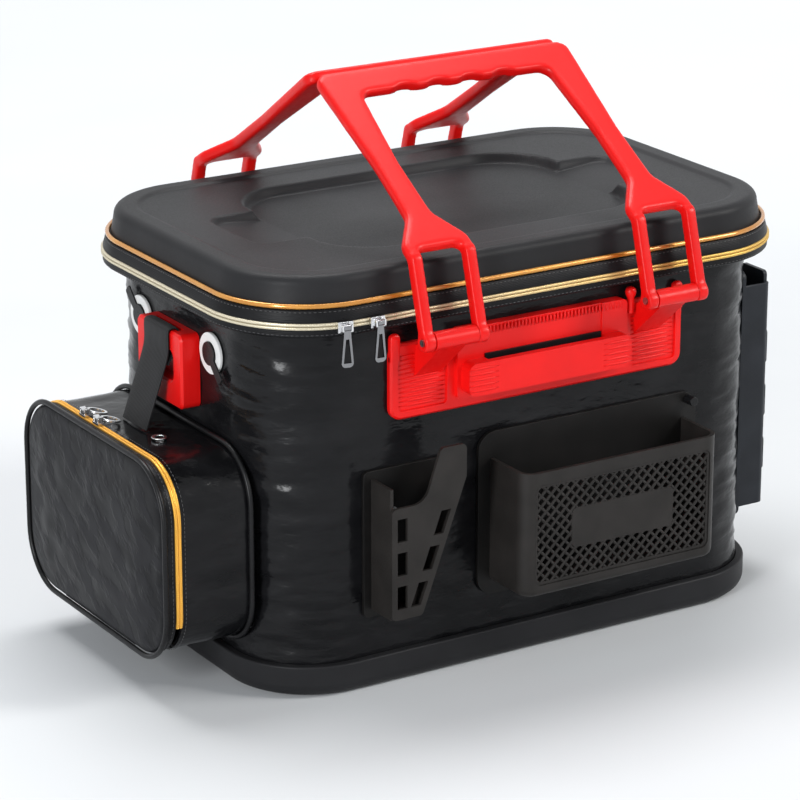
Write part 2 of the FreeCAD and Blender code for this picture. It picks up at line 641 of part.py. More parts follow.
def add_knuckle(body, x):
    """A neck that climbs out from the bracket to a barrel with a bore for the hinge pin."""
    root = -FRONT_FACE - S.flange_thick / 2
    neck = [
        (root, BRACKET_HIGH - S.neck_low), (root, BRACKET_HIGH - S.neck_high),
        (S.knuckle_radius / 2 - HINGE_Y, HINGE_Z + S.knuckle_radius / 2),
        (-HINGE_Y - S.knuckle_radius / 2, HINGE_Z - S.knuckle_radius / 2),
    ]
    pad(body, sketch_of(body, "YZ", x, neck), S.neck_half * 2, both=True)
    axis = [(-HINGE_Y, HINGE_Z)]
    pad(body, circles_on(body, "YZ", x, axis, S.knuckle_radius), S.knuckle_half * 2, both=True)
    cut(body, circles_on(body, "YZ", x, axis, S.pin_radius + S.pin_fit), S.knuckle_half * 2, both=True)


def make_pins(label, turn):
    body = new_body(label, turn)
    for sign in (-1, 1):
        sketch = circles_on(body, "YZ", sign * HINGE_X, [(-HINGE_Y, HINGE_Z)], S.pin_radius)
        pad(body, sketch, PRONG_OUT * 2, both=True)


def prong_outlines(x):
    """The two prongs under one arm in their own plane, from the hinge up to the bend."""
    top = span(BEND_Y - HINGE_Y, S.bend_rise)
    return [
        rectangle(x - PRONG_OUT, 0, x - S.prong_inside, top),
        rectangle(x + S.prong_inside, 0, x + PRONG_OUT, top),
    ]


def bail_outline():
    """Both arms and the grip in the leaning plane, as one U. Each arm fans out to two feet."""
    x, along = HINGE_X, span(GRIP_RUN, S.grip_rise)

    def edge(side, grip_edge):
        return [
            (x + side * PRONG_OUT, 0), (x + side * PRONG_OUT, S.fan_low, S.shoulder_round),
            (x + side * S.fan_neck_half, S.fan_high, S.shoulder_round),
            (x + side * S.waist_half, S.waist_along, S.shoulder_round),
            (x + side * S.corner_half, grip_edge, S.grip_corner),
        ]

    crotch = [
        (x - S.prong_inside, 0), (x - S.prong_inside, S.crotch_along, S.crotch_corner),
        (x + S.prong_inside, S.crotch_along, S.crotch_corner), (x + S.prong_inside, 0),
    ]
    right = edge(-1, along - S.grip_depth / 2)[::-1] + crotch + edge(1, along + S.grip_depth / 2)
    left = [(-corner[0], *corner[1:]) for corner in right]
    return right + left[::-1]


def broad_faces_of(sketch, thick):
    """Chooses the edges round both broad faces of a pad, but for its foot on the sketch's X axis."""
    inverse = sketch.Placement.inverse()
    half = number(thick) / 2

    def chosen(edge):
        middle = (edge.FirstParameter + edge.LastParameter) / 2
        spots = [edge.valueAt(at) for at in (edge.FirstParameter, middle, edge.LastParameter)]
        local = [inverse.multVec(spot) for spot in spots]
        on_face = all(abs(abs(spot.z) - half) < 1e-4 for spot in local)
        return on_face and any(abs(spot.y) > 1e-4 for spot in local)

    return chosen


def make_handle(label, turn):
    body = new_body(label, turn)
    lean = slope(GRIP_RUN, S.grip_rise)
    bail = leaning_sketch(body, -BEND_Y, BEND_Z, lean)
    draw_outline(bail, bail_outline())
    pad(body, bail, S.handle_thick, both=True)
    doc.recompute()
    round_edges(body, S.handle_round, broad_faces_of(bail, S.handle_thick))
    add_finger_grooves(body, lean)
    fork_lean = slope(HINGE_Y - BEND_Y, S.bend_rise)
    fork = leaning_sketch(body, -HINGE_Y, HINGE_Z, fork_lean)
    for sign in (-1, 1):
        for outline in prong_outlines(sign * HINGE_X):
            draw_outline(fork, outline)
    pad(body, fork, S.handle_thick, both=True)
    for sign in (-1, 1):
        add_bend_and_eyes(body, sign * HINGE_X)


def add_finger_grooves(body, lean):
    along = span(GRIP_RUN, S.grip_rise)
    centre = along - S.grip_depth / 2 - S.groove_radius + S.groove_depth
    grooves = leaning_sketch(body, -BEND_Y, BEND_Z, lean)
    for place in (-1.5, -0.5, 0.5, 1.5):
        draw_circle(grooves, place * HINGE_X * S.groove_share, centre, S.groove_radius)
    cut(body, grooves, S.handle_thick * 2, both=True)


def add_bend_and_eyes(body, x):
    """Round off both prongs at their bend, and end them in eyes bored for the hinge pin."""
    bend, axis = [(-BEND_Y, BEND_Z)], [(-HINGE_Y, HINGE_Z)]
    for start in (x + S.prong_inside, x - PRONG_OUT):
        pad(body, circles_on(body, "YZ", start, bend, S.handle_thick / 2), S.prong_thick)
        pad(body, circles_on(body, "YZ", start, axis, S.eye_radius), S.prong_thick)
    cut(body, circles_on(body, "YZ", x, axis, S.pin_radius + S.pin_play), PRONG_OUT * 2, both=True)


def make_backing_plate(label, turn, face, outline, screws):
    """A plate inside the wall that spreads the load of a bracket's screws."""
    body = new_body(label, turn)
    lift = face - S.body_wall - S.seat_gap - S.backing_thick
    pad(body, sketch_of(body, "XZ", lift, outline), S.backing_thick)
    cut(body, circles_on(body, "XZ", lift, screws, S.screw_radius + S.screw_play), S.backing_thick)


def make_screws(label, turn, face, screws):
    inside = face - S.body_wall - S.seat_gap - S.backing_thick
    shank = S.backing_thick + S.body_wall + S.seat_gap * 2 + S.screw_bite - S.screw_play
    make_fasteners(label, turn, screws, inside, shank, S.screw_radius, S.screw_head, S.screw_head_thick)


def make_handles():
    half = BRACKET_HALF - S.backing_inset
    outline = rectangle(-half, BRACKET_LOW, half, BRACKET_HIGH, S.backing_corner)
    for end, turn in (("front", 0), ("rear", 180)):
        make_bracket(f"{end}_bracket", turn)
        make_pins(f"{end}_hinge_pins", turn)
        make_handle(f"{end}_handle", turn)
        make_backing_plate(f"{end}_backing_plate", turn, HALF_Y, outline, BRACKET_SCREWS)
        make_screws(f"{end}_bracket_screws", turn, HALF_Y, BRACKET_SCREWS)


# Left end wall. Bodies are drawn as if on the front and turned a quarter, so their X is -Y.
LEFT = -90
SIDE_X = -S.side_centre


def make_side_bracket():
    body = new_body("side_bracket", LEFT)
    left, right = SIDE_X - SIDE_HALF, SIDE_X + SIDE_HALF
    outline = rectangle(left, SIDE_LOW, right, SIDE_HIGH, S.side_corner)
    window_left, window_right = SIDE_X - WINDOW_HALF, SIDE_X + WINDOW_HALF
    window = rectangle(window_left, WINDOW_LOW, window_right, WINDOW_HIGH, S.side_corner)
    pad(body, sketch_of(body, "XZ", SIDE_FACE, outline), S.side_plate)
    pad(body, sketch_of(body, "XZ", SIDE_FACE, outline, window), S.side_frame)
    round_edges(body, S.flange_edge, lies_at("Y", -SIDE_FACE - S.side_frame), "Chamfer")
    near = -SIDE_FACE - S.side_slot_reach
    slot = rectangle(window_left, near - S.side_slot_depth, window_right, near)
    middle = (WINDOW_LOW + WINDOW_HIGH) / 2
    cut(body, sketch_of(body, "XY", middle, slot), SIDE_HIGH - middle)
    cut(body, circles_on(body, "XZ", SIDE_FACE, SIDE_SCREWS, S.screw_radius + S.screw_play), S.screw_bite)
    inner = rectangle(left + S.flange_edge, SIDE_LOW, right - S.flange_edge, SIDE_HIGH, S.side_corner)
    make_backing_plate("side_backing_plate", LEFT, HALF_X, inner, SIDE_SCREWS)
    make_screws("side_bracket_screws", LEFT, HALF_X, SIDE_SCREWS)


def make_webbing():
    """A loop of webbing round the top bar of the side bracket, down to the top of the bag."""
    body = new_body("webbing_loop", LEFT)
    thick, gap = S.webbing_thick, S.webbing_gap
    back = -SIDE_FACE - S.side_slot_reach - S.side_slot_depth + gap
    front = -SIDE_FACE - S.side_frame - gap
    low, high = WINDOW_HIGH - gap, SIDE_HIGH + gap
    foot = -SIDE_FACE - S.webbing_foot
    foot_z = BAG_HIGH + S.seat_gap
    outer = [
        (back + thick, low - thick), (back + thick, high + thick), (front - thick, high + thick),
        (front - thick, low), (foot - thick * 2, foot_z), (foot, foot_z), (front, low - thick),
    ]
    inner = rectangle(front, low, back, high)
    pad(body, sketch_of(body, "YZ", SIDE_X, outer, inner), WEBBING_HALF * 2, both=True)


def make_air_ring(label, x):
    """A flanged ring through the wall, with a washer inside."""
    body = new_body(label, LEFT)
    place = [(x, RING_Z)]
    inner_face = HALF_X - S.body_wall - S.seat_gap
    pad(body, circles_on(body, "XZ", SIDE_FACE, place, S.ring_radius, S.ring_bore), S.ring_thick)
    neck = circles_on(body, "XZ", inner_face, place, S.ring_neck, S.ring_bore)
    pad(body, neck, S.body_wall + S.seat_gap * 2)
    washer = circles_on(body, "XZ", inner_face, place, S.washer_radius, S.ring_bore)
    pad(body, washer, S.washer_thick, back=True)


def make_air_plug(label, x, away):
    """A push-in plug with a pull tab that slants across the ring, up or down and away from its middle."""
    body = new_body(label, LEFT)
    z = RING_Z
    inside = HALF_X - S.body_wall - S.plug_tail
    cap_face = SIDE_FACE + S.ring_thick + S.plug_gap
    pad(body, circles_on(body, "XZ", inside, [(x, z)], S.ring_bore - S.plug_play), cap_face - inside)
    pad(body, circles_on(body, "XZ", cap_face, [(x, z)], S.plug_cap), S.plug_cap_thick)
    diagonal = math.sqrt(0.5) * away
    along, across = S.tab_length * diagonal, S.tab_half * diagonal
    tab = [
        (x + across, z + across), (x - across, z - across),
        (x + along - across, z - along - across, S.tab_half / 2),
        (x + along + across, z - along + across, S.tab_half / 2),
    ]
    pad(body, sketch_of(body, "XZ", cap_face, tab), S.plug_cap_thick)


def make_left_end():
    make_side_bracket()
    make_webbing()
    for end, away in (("front", 1), ("rear", -1)):
        make_air_ring(f"air_ring_{end}", AIR_HOLES[end])
        make_air_plug(f"air_plug_{end}", AIR_HOLES[end], away)


# Side bag

BAG_BACK = HALF_X + S.bag_gap
BAG_ZIP = BAG_BACK + S.bag_depth
BAG_SPLIT = BAG_ZIP + S.bag_zip
FLAP_BACK = BAG_SPLIT + S.bag_zip_gap + S.bag_zip
FLAP_FRONT = FLAP_BACK + S.flap_depth


def bag_outline(grow):
    left, right = SIDE_X - S.bag_half - grow, SIDE_X + S.bag_half + grow
    return rectangle(left, S.bag_low - grow, right, BAG_HIGH + grow, S.bag_corner + grow)


def make_bag_zip(label, lift):
    """Half of the bag's zip. It stops above the bottom corners, where the flap hinges."""
    body = new_body(label, LEFT)
    pad(body, sketch_of(body, "XZ", lift, bag_outline(S.bag_zip_proud), bag_outline(-S.bag_wall)), S.bag_zip)
    wide = S.bag_half * 2
    foot = rectangle(SIDE_X - wide, S.bag_low - S.bag_wall, SIDE_X + wide, S.bag_low + S.bag_zip_end)
    cut(body, sketch_of(body, "XZ", lift, foot), S.bag_zip)


def make_bag_piping(label, lift):
    body = new_body(label, LEFT)
    grow = S.bag_piping + S.bag_piping_seat
    spine = sketch_of(body, "XZ", lift, bag_outline(grow))
    start = SIDE_X - S.bag_half + S.bag_corner
    make_pipe(body, spine, "YZ", start, -lift, S.bag_low - grow, S.bag_piping)


def make_bag_slider(label, x):
    """A slider on the top run of the bag's zip, with two ears and a bar, and its ring pull."""
    body = new_body(f"bag_slider_{label}", LEFT)
    low = BAG_HIGH + S.bag_zip_proud + S.slider_play
    high = low + S.bag_slider_thick
    half = S.bag_slider_length / 2
    plate = rectangle(x - half, low, x + half, high)
    pad(body, sketch_of(body, "XZ", BAG_ZIP, plate), FLAP_BACK - BAG_ZIP)
    bar_z = high + S.bar_reach
    bar = [(-BAG_SPLIT, bar_z)]
    ear = rectangle(-BAG_SPLIT - S.ear_half, high, -BAG_SPLIT + S.ear_half, high + S.ear_reach)
    pad(body, sketch_of(body, "YZ", x + S.ear_inside, ear), S.ear_thick)
    pad(body, sketch_of(body, "YZ", x - S.ear_inside - S.ear_thick, ear), S.ear_thick)
    pad(body, circles_on(body, "YZ", x, bar, S.bar_radius), S.ear_inside * 2, both=True)
    pull = new_body(f"bag_pull_{label}", LEFT)
    barrel = circles_on(pull, "YZ", x, bar, S.barrel_radius, S.bar_radius + S.bore_play)
    pad(pull, barrel, (S.ear_inside - S.pull_play) * 2, both=True)
    droop = Size(-S.ring_pull_droop.value, f"-{S.ring_pull_droop.text} * 1 deg")
    ring = leaning_sketch(pull, -BAG_SPLIT, bar_z, droop)
    for radius in (S.ring_pull_out, S.ring_pull_in):
        draw_circle(ring, x, S.ring_pull_at, radius)
    pad(pull, ring, S.ring_pull_thick, both=True)
    neck = leaning_sketch(pull, -BAG_SPLIT, bar_z, droop)
    root = (S.bar_radius + S.barrel_radius) / 2
    tip = S.ring_pull_at - (S.ring_pull_out + S.ring_pull_in) / 2
    draw_outline(neck, rectangle(x - S.barrel_radius, root, x + S.barrel_radius, tip))
    pad(pull, neck, S.ring_pull_thick, both=True)


def make_bag_flap():
    body = new_body("bag_flap", LEFT)
    pad(body, sketch_of(body, "XZ", FLAP_BACK, bag_outline(0)), S.flap_depth)
    round_edges(body, S.flap_edge, lies_at("Y", -FLAP_FRONT))
    cut(body, sketch_of(body, "XZ", FLAP_BACK, bag_outline(-S.bag_wall)), S.flap_depth - S.flap_panel)


def make_bag():
    shell = new_body("bag_shell", LEFT)
    pad(shell, sketch_of(shell, "XZ", BAG_BACK, bag_outline(0)), S.bag_depth)
    cut(shell, sketch_of(shell, "XZ", BAG_BACK + S.bag_wall, bag_outline(-S.bag_wall)), S.bag_depth)
    make_bag_flap()
    make_bag_zip("bag_zip_back", BAG_ZIP)
    make_bag_zip("bag_zip_front", BAG_SPLIT + S.bag_zip_gap)
    make_bag_piping("bag_piping_back", BAG_BACK + S.bag_piping)
    make_bag_piping("bag_piping_front", FLAP_FRONT - S.bag_piping)
    tape = new_body("bag_hinge_tape", LEFT)
    left, right = SIDE_X - S.bag_tape_half, SIDE_X + S.bag_tape_half
    high = S.bag_low - S.seat_gap
    strip = rectangle(left, high - S.bag_tape_thick, right, high)
    tape_back = BAG_ZIP - S.bag_tape_reach
    pad(tape, sketch_of(tape, "XZ", tape_back, strip), FLAP_BACK + S.bag_tape_reach - tape_back)
    for place, label in enumerate(("front", "rear")):
        make_bag_slider(label, SIDE_X - S.bag_slider_at - place * S.bag_slider_step)
    eyelet = new_body("bag_eyelet", LEFT)
    spot = [(SIDE_X + WEBBING_HALF + S.eyelet_gap, -BAG_BACK - S.eyelet_reach)]
    pad(eyelet, circles_on(eyelet, "XY", BAG_HIGH, spot, S.eyelet_radius, S.eyelet_bore), S.eyelet_thick)


# Mesh pocket on the front

POCKET_BACK = FRONT_FACE + S.plate_thick
POCKET_FRONT = POCKET_BACK + S.pocket_depth
NET_GAP = (S.net_pitch - S.net_bar * math.sqrt(2)) / 2


def net_window(shrink):
    left, right = POCKET_LEFT + S.net_margin + shrink, POCKET_RIGHT - S.net_margin - shrink
    low, high = S.pocket_low + S.net_margin + shrink, POCKET_HIGH - S.net_margin - shrink
    return left, low, right, high


def make_rivets(label, turn, face, places):
    """Rivets that hold a back plate to the wall, headed on both sides."""
    shank = S.body_wall + S.seat_gap + S.plate_thick
    make_fasteners(label, turn, places, face - S.body_wall, shank, S.rivet_radius, S.rivet_head,
                   S.rivet_head_thick, S.rivet_head)


def make_pocket():
    plate = new_body("pocket_plate")
    margin = S.plate_margin
    outline = rectangle(POCKET_LEFT - margin, S.pocket_low - margin, POCKET_RIGHT + margin,
                        PLATE_HIGH, S.plate_corner)
    pad(plate, sketch_of(plate, "XZ", FRONT_FACE, outline), S.plate_thick)
    hole = S.rivet_radius + S.rivet_play
    cut(plate, circles_on(plate, "XZ", FRONT_FACE, POCKET_RIVETS, hole), S.plate_thick)
    make_rivets("pocket_rivets", 0, HALF_Y, POCKET_RIVETS)
    peg = new_body("pocket_peg")
    spot = [(POCKET_RIGHT + S.peg_past, PLATE_HIGH - S.peg_drop)]
    pad(peg, circles_on(peg, "XZ", POCKET_BACK, spot, S.peg_radius), S.peg_reach)
    make_pocket_tub()
    make_net()


def make_pocket_tub():
    """An open-topped tub with a window in its front for the net."""
    body = new_body("mesh_pocket")
    left, right, wall = POCKET_LEFT, POCKET_RIGHT, S.pocket_wall
    front_view = rectangle(left, S.pocket_low, right, POCKET_HIGH)
    pad(body, sketch_of(body, "XZ", POCKET_BACK, front_view), S.pocket_depth)
    front = lies_at("Y", -POCKET_FRONT)
    top = lies_at("Z", POCKET_HIGH)
    sides = [lies_at("X", left), lies_at("X", right)]
    round_edges(body, S.pocket_corner, lambda edge: front(edge) and any(side(edge) for side in sides))
    round_edges(body, S.pocket_corner / 2, lambda edge: front(edge) and not top(edge) and not upright(edge))
    inside = S.pocket_corner - wall
    hollow = [
        (left + wall, -POCKET_FRONT + wall, inside), (right - wall, -POCKET_FRONT + wall, inside),
        (right - wall, -POCKET_BACK), (left + wall, -POCKET_BACK),
    ]
    cut(body, sketch_of(body, "XY", S.pocket_low + wall, hollow), POCKET_HEIGHT)
    window = rectangle(*net_window(0), S.net_corner)
    cut(body, sketch_of(body, "XZ", POCKET_FRONT - wall, window), wall)


def upright(edge):
    box = edge.BoundBox
    return box.ZLength > max(box.XLength, box.YLength)


def diamond(x, y, z, half):
    tips = ((x - half, z), (x, z - half), (x + half, z), (x, z + half), (x - half, z))
    return Part.makePolygon([FreeCAD.Vector(across, y, up) for across, up in tips])


def rounded_wire(left, low, right, high, y, corner):
    """A round-cornered oblong in the plane at y, as one wire."""
    edges = []
    ends = []
    corners = ((left, low, 1, 1), (right, low, -1, 1), (right, high, -1, -1), (left, high, 1, -1))
    for x, z, across, up in corners:
        centre = FreeCAD.Vector(x + across * corner, y, z + up * corner)
        beside, below = FreeCAD.Vector(-across * corner, 0, 0), FreeCAD.Vector(0, 0, -up * corner)
        first, last = (beside, below) if across == up else (below, beside)
        middle = (beside + below).normalize() * corner
        edges.append(Part.Arc(centre + first, centre + middle, centre + last).toShape())
        ends.append((centre + first, centre + last))
    for i in range(4):
        edges.append(Part.makeLine(ends[i][1], ends[(i + 1) % 4][0]))
    return Part.Wire(Part.__sortEdges__(edges))


def net_gaps(left, low, right, high):
    """Middles of the diamond gaps, clear of the net's edge and of the plain oblong in its middle."""
    pitch, half = number(S.net_pitch), number(NET_GAP)
    edge = half + number(S.net_bar)
    middle_x, middle_z = (left + right) / 2, (low + high) / 2
    label_x = (right - left) * number(S.label_share_x) + half
    label_z = (high - low) * number(S.label_share_z) + half
    columns, rows = int((right - left) / pitch), int((high - low) / pitch)
    gaps = []
    for row in range(-rows, rows + 1):
        for column in range(-columns, columns + 1):
            across, up = (column + 0.5 * (row % 2)) * pitch, row * pitch / 2
            inside = abs(across) < (right - left) / 2 - edge and abs(up) < (high - low) / 2 - edge
            if inside and not (abs(across) < label_x and abs(up) < label_z):
                gaps.append((middle_x + across, middle_z + up))
    return gaps


def make_net():
    """The diamond mesh in the pocket's front: one face full of holes, thickened."""
    limits = [number(size) for size in net_window(S.seat_gap)]
    back = -number(POCKET_FRONT - S.pocket_wall)
    edge = rounded_wire(*limits, back, number(S.net_corner - S.seat_gap))
    holes = [diamond(x, back, z, number(NET_GAP)) for x, z in net_gaps(*limits)]
    face = Part.makeFace([edge] + holes, "Part::FaceMakerBullseye")
    net = doc.addObject("Part::Feature", "mesh_panel")
    net.Label = "mesh_panel"
    net.Shape = face.extrude(FreeCAD.Vector(0, -number(S.net_thick), 0))
    SUBPARTS.append(net)


# Tool holder on the front

HOLDER_BACK = FRONT_FACE + S.plate_thick
HOLDER_FRONT = HOLDER_BACK + S.holder_depth


def holder_edge(z):
    """The holder's slanting right edge, as x at a height."""
    taper = (HOLDER_RIGHT - HOLDER_FOOT) / HOLDER_HEIGHT
    return HOLDER_FOOT + taper * (z - S.holder_low)


def make_holder():
    plate = new_body("holder_plate")
    margin, corner = S.holder_margin, S.holder_corner
    left, low, high = HOLDER_LEFT - margin, S.holder_low - margin, HOLDER_HIGH + margin
    outline = [
        (left, low, corner), (HOLDER_FOOT + margin, low, corner),
        (HOLDER_RIGHT + margin, high, corner), (left, high, corner),
    ]
    pad(plate, sketch_of(plate, "XZ", FRONT_FACE, outline), S.plate_thick)
    holes = circles_on(plate, "XZ", FRONT_FACE, HOLDER_RIVETS, S.rivet_radius + S.rivet_play)
    cut(plate, holes, S.plate_thick)
    make_rivets("holder_rivets", 0, HALF_Y, HOLDER_RIVETS)
    make_holder_tub()


def make_holder_tub():
    """A tapered channel, closed at the front by a notched wall with a tongue and rows of openings."""
    body = new_body("tool_holder")
    left, low, high, wall = HOLDER_LEFT, S.holder_low, HOLDER_HIGH, S.holder_wall
    foot, top = HOLDER_FOOT, HOLDER_RIGHT
    outside = [(left, low), (foot, low), (top, high), (left, high)]
    inside = [(left + wall, low + wall), (foot - wall, low + wall), (top - wall, high), (left + wall, high)]
    pad(body, sketch_of(body, "XZ", HOLDER_BACK, outside), S.holder_depth - wall)
    cut(body, sketch_of(body, "XZ", HOLDER_BACK, inside), S.holder_depth - wall)
    corner = S.holder_corner
    notch = high - S.notch_depth
    front = [
        (left, low, corner), (foot, low, corner), (top, high, corner), (top, TONGUE_HIGH, corner),
        (HOLDER_RIGHT - S.tongue_width, TONGUE_HIGH, corner), (left + S.notch_width, notch, S.notch_round),
        (left, notch, corner),
    ]
    pad(body, sketch_of(body, "XZ", HOLDER_FRONT - wall, front), wall)
    openings = sketch_on(body, "XZ", HOLDER_FRONT - wall)
    inner = left + S.cut_margin
    for row in range(3):
        z = low + S.cut_rise + row * CUT_STEP
        end = z + CUT_STEP - S.cut_bar
        draw_outline(openings, rectangle(inner, z, inner + S.cut_width, end))
        right_low, right_high = holder_edge(z) - S.cut_margin, holder_edge(end) - S.cut_margin
        draw_outline(openings, [
            (right_low - S.cut_width, z), (right_low, z), (right_high, end), (right_high - S.cut_width, end),
        ])
    cut(body, openings, wall)


# Rod holder on the right end wall, turned the other way, so its X is +Y.
RIGHT = 90
ROD_BACK = SIDE_FACE + S.plate_thick
ROD_FRONT = ROD_BACK + S.rod_reach


def rod_plan(inset):
    """The holder seen from above, open towards the wall."""
    near, far, corner = ROD_NEAR + inset, ROD_FAR - inset, S.rod_corner - inset
    front = -ROD_FRONT + inset
    return [(near, -ROD_BACK), (near, front, corner), (far, front, corner), (far, -ROD_BACK)]


def make_rod_holder():
    plate = new_body("rod_plate", RIGHT)
    margin = S.rod_plate_margin
    outline = rectangle(ROD_NEAR - margin, S.rod_low - margin, ROD_FAR + margin,
                        ROD_HIGH + S.rod_plate_rise, S.rod_corner)
    pad(plate, sketch_of(plate, "XZ", SIDE_FACE, outline), S.plate_thick)
    holes = circles_on(plate, "XZ", SIDE_FACE, ROD_RIVETS, S.rivet_radius + S.rivet_play)
    cut(plate, holes, S.plate_thick)
    make_rivets("rod_rivets", RIGHT, HALF_X, ROD_RIVETS)
    body = new_body("rod_holder", RIGHT)
    pad(body, sketch_of(body, "XY", S.rod_low, rod_plan(0)), ROD_HEIGHT)
    cut(body, sketch_of(body, "XY", S.rod_low + S.rod_wall, rod_plan(S.rod_wall)), ROD_HEIGHT)
    near, far = ROD_NEAR + S.rod_corner, ROD_FAR - S.rod_corner
    lip = rectangle(near, ROD_HIGH - S.rod_lip, far, ROD_HIGH + S.rod_lip, S.rod_wall)
    pad(body, sketch_of(body, "XZ", ROD_FRONT - S.rod_wall, lip), S.rod_wall)
    pads = sketch_on(body, "XZ", ROD_FRONT)
    for row in range(3):
        z = S.rod_low + S.rod_pad_low + row * ROD_PAD_STEP
        draw_outline(pads, rectangle(near, z, far, z + ROD_PAD_STEP - S.rod_pad_gap, S.rod_wall))
    pad(body, pads, S.rod_pad_proud)


def export_parts():
    doc.recompute()
    failed = [item.Name for item in doc.Objects if {"Invalid", "Error"} & set(item.State)]
    bad = [item.Label for item in SUBPARTS if item.Shape.isNull() or not item.Shape.isValid()]
    if failed or bad:
        raise RuntimeError(f"failed objects {failed}, bad shapes {bad}")
    os.makedirs("parts", exist_ok=True)
    for item in SUBPARTS:
        print(f"{item.Label}: {len(item.Shape.Solids)} solids, {item.Shape.Volume / 1000:.2f} cm3")
        item.Shape.exportStep(f"parts/{item.Label}.step")


make_tray()
make_walls()
make_rim()
make_zip()
make_hinge_strip()
make_sliders()
make_lid()
make_piping()
make_handles()
make_left_end()
make_bag()
make_pocket()
make_holder()
make_rod_holder()
export_parts()
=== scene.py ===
import json
import math

import bmesh
import bpy
from mathutils import Matrix, Vector, noise
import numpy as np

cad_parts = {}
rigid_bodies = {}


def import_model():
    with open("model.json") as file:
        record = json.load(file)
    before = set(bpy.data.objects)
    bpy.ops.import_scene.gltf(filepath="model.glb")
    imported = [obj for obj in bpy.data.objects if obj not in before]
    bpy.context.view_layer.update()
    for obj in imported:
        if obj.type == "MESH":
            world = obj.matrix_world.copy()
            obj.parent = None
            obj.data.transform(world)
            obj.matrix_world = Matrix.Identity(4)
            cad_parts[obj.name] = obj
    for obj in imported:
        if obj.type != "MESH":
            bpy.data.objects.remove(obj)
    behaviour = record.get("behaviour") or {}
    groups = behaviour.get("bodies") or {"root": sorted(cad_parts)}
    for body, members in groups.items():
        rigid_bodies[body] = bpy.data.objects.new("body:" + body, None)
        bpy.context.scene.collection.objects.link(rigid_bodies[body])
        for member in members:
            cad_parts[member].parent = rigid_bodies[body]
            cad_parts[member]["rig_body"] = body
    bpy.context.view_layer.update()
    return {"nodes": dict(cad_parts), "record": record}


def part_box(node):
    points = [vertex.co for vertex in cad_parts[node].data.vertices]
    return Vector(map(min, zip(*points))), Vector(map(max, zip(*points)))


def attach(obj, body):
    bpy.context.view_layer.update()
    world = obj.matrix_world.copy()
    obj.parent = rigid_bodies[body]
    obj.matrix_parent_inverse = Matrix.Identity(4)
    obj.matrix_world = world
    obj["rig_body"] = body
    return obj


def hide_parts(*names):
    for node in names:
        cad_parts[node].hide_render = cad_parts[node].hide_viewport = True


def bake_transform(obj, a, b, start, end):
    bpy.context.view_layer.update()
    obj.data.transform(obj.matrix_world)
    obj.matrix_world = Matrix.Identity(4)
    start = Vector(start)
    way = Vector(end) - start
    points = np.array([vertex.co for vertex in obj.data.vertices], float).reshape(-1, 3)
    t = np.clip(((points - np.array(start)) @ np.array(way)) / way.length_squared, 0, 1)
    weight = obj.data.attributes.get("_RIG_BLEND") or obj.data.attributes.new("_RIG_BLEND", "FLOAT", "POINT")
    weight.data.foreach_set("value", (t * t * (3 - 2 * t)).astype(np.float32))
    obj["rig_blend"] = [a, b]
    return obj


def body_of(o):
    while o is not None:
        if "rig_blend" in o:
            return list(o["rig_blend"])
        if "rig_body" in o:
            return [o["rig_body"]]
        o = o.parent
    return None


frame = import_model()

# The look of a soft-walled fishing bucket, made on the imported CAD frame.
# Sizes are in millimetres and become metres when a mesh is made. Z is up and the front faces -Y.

MM = 0.001
METRE = 1000

NODES = frame["nodes"]
SLOT_OF = {part["node"]: part["material_slot"] for part in frame["record"]["subparts"]}

# Bucket. The innermost ring of a closed floor or ceiling lies at MIDDLE_REACH.
HALF_X, HALF_Y, CORNER, MIDDLE_REACH = 214, 131, 60, -110
WALL_LOW, WALL_HIGH, WALL_THICK = 5, 271.8, 3
FLOOR_TOP, FLOOR_FILLET, WALL_STEP = 7, 4, 2.4
# Folds in its laminate: depths, where they fade out, and the length of broad and fine ones on each axis
FOLD_FLAT, FOLD_CORNER = 1.0, 2.8
CALM_LOW, CALM_LOW_RUN, CALM_HIGH, CALM_HIGH_RUN = 24, 20, 266, 16
CREASE_BROAD, CREASE_FINE = (80, 80, 12), (34, 34, 7)
DENT_BROAD, DENT_FINE = (64, 64, 19), (26, 26, 9)
# Lid
SKIRT_REACH, SKIRT_LOW, LEDGE, LIP = 12, 274.3, 288.4, 0.6
LID_FOOT_REACH, LID_FOOT_RISE = 9.8, 0.8
LID_REACH, LID_TOP, LID_EDGE = 6, 310, 7
HOLLOW_REACH, HOLLOW_TOP, HOLLOW_FILLET = 5.8, 297, 4
LID_BORDER, LID_BORDER_RUN, LID_DISH = 15, 4, 1.7
PANEL_X, PANEL_Y, PANEL_CORNER = 130.5, 88.5, 46
LOBE_X, LOBE_Y, LOBE_CORNER, LOBE_BLEND = 171, 37, 12, 3
PANEL_DEPTH, PANEL_SLOPE = 9, 5
LOBE_RISE, LOBE_START, LOBE_RUN = 0.4, 4, 42
LID_STEP, LID_ROUND = 1.3, (150, 84, 40)
LID_WALL_ROWS, LID_EDGE_ROWS = 4, 8
# Zip round the lid: the beds and tapes are given by their reach outside the wall
CHAIN_REACH, CHAIN_END = 15.5, 118
CHAIN_LOW, CHAIN_HIGH = 276.1, 278.6
TOOTH_PITCH, TOOTH = 1.8, (1.7, 3.4, 2.1)
BED_IN, BED_OUT, BED_HALF = -1.7, 1.2, 1
PIPING_REACH, PIPING_HEIGHT, PIPING_RADIUS = 12, 290.6, 1.8
STITCH_PITCH, STITCH = 3.4, (2.3, 0.5, 0.55)
LOWER_TAPE, LOWER_SEAM, LOWER_SEAM_RISE = (14.2, 15.8), 15.75, 1.2
UPPER_TAPE = (
    (12.2, 279.8), (15.6, 279.8), (15.7, 280.4), (14.6, 284.2), (13.6, 287.6), (13.2, 288.2), (12.2, 288.2),
)
UPPER_SEAM, UPPER_SEAM_HEIGHT = 13.75, 286.9
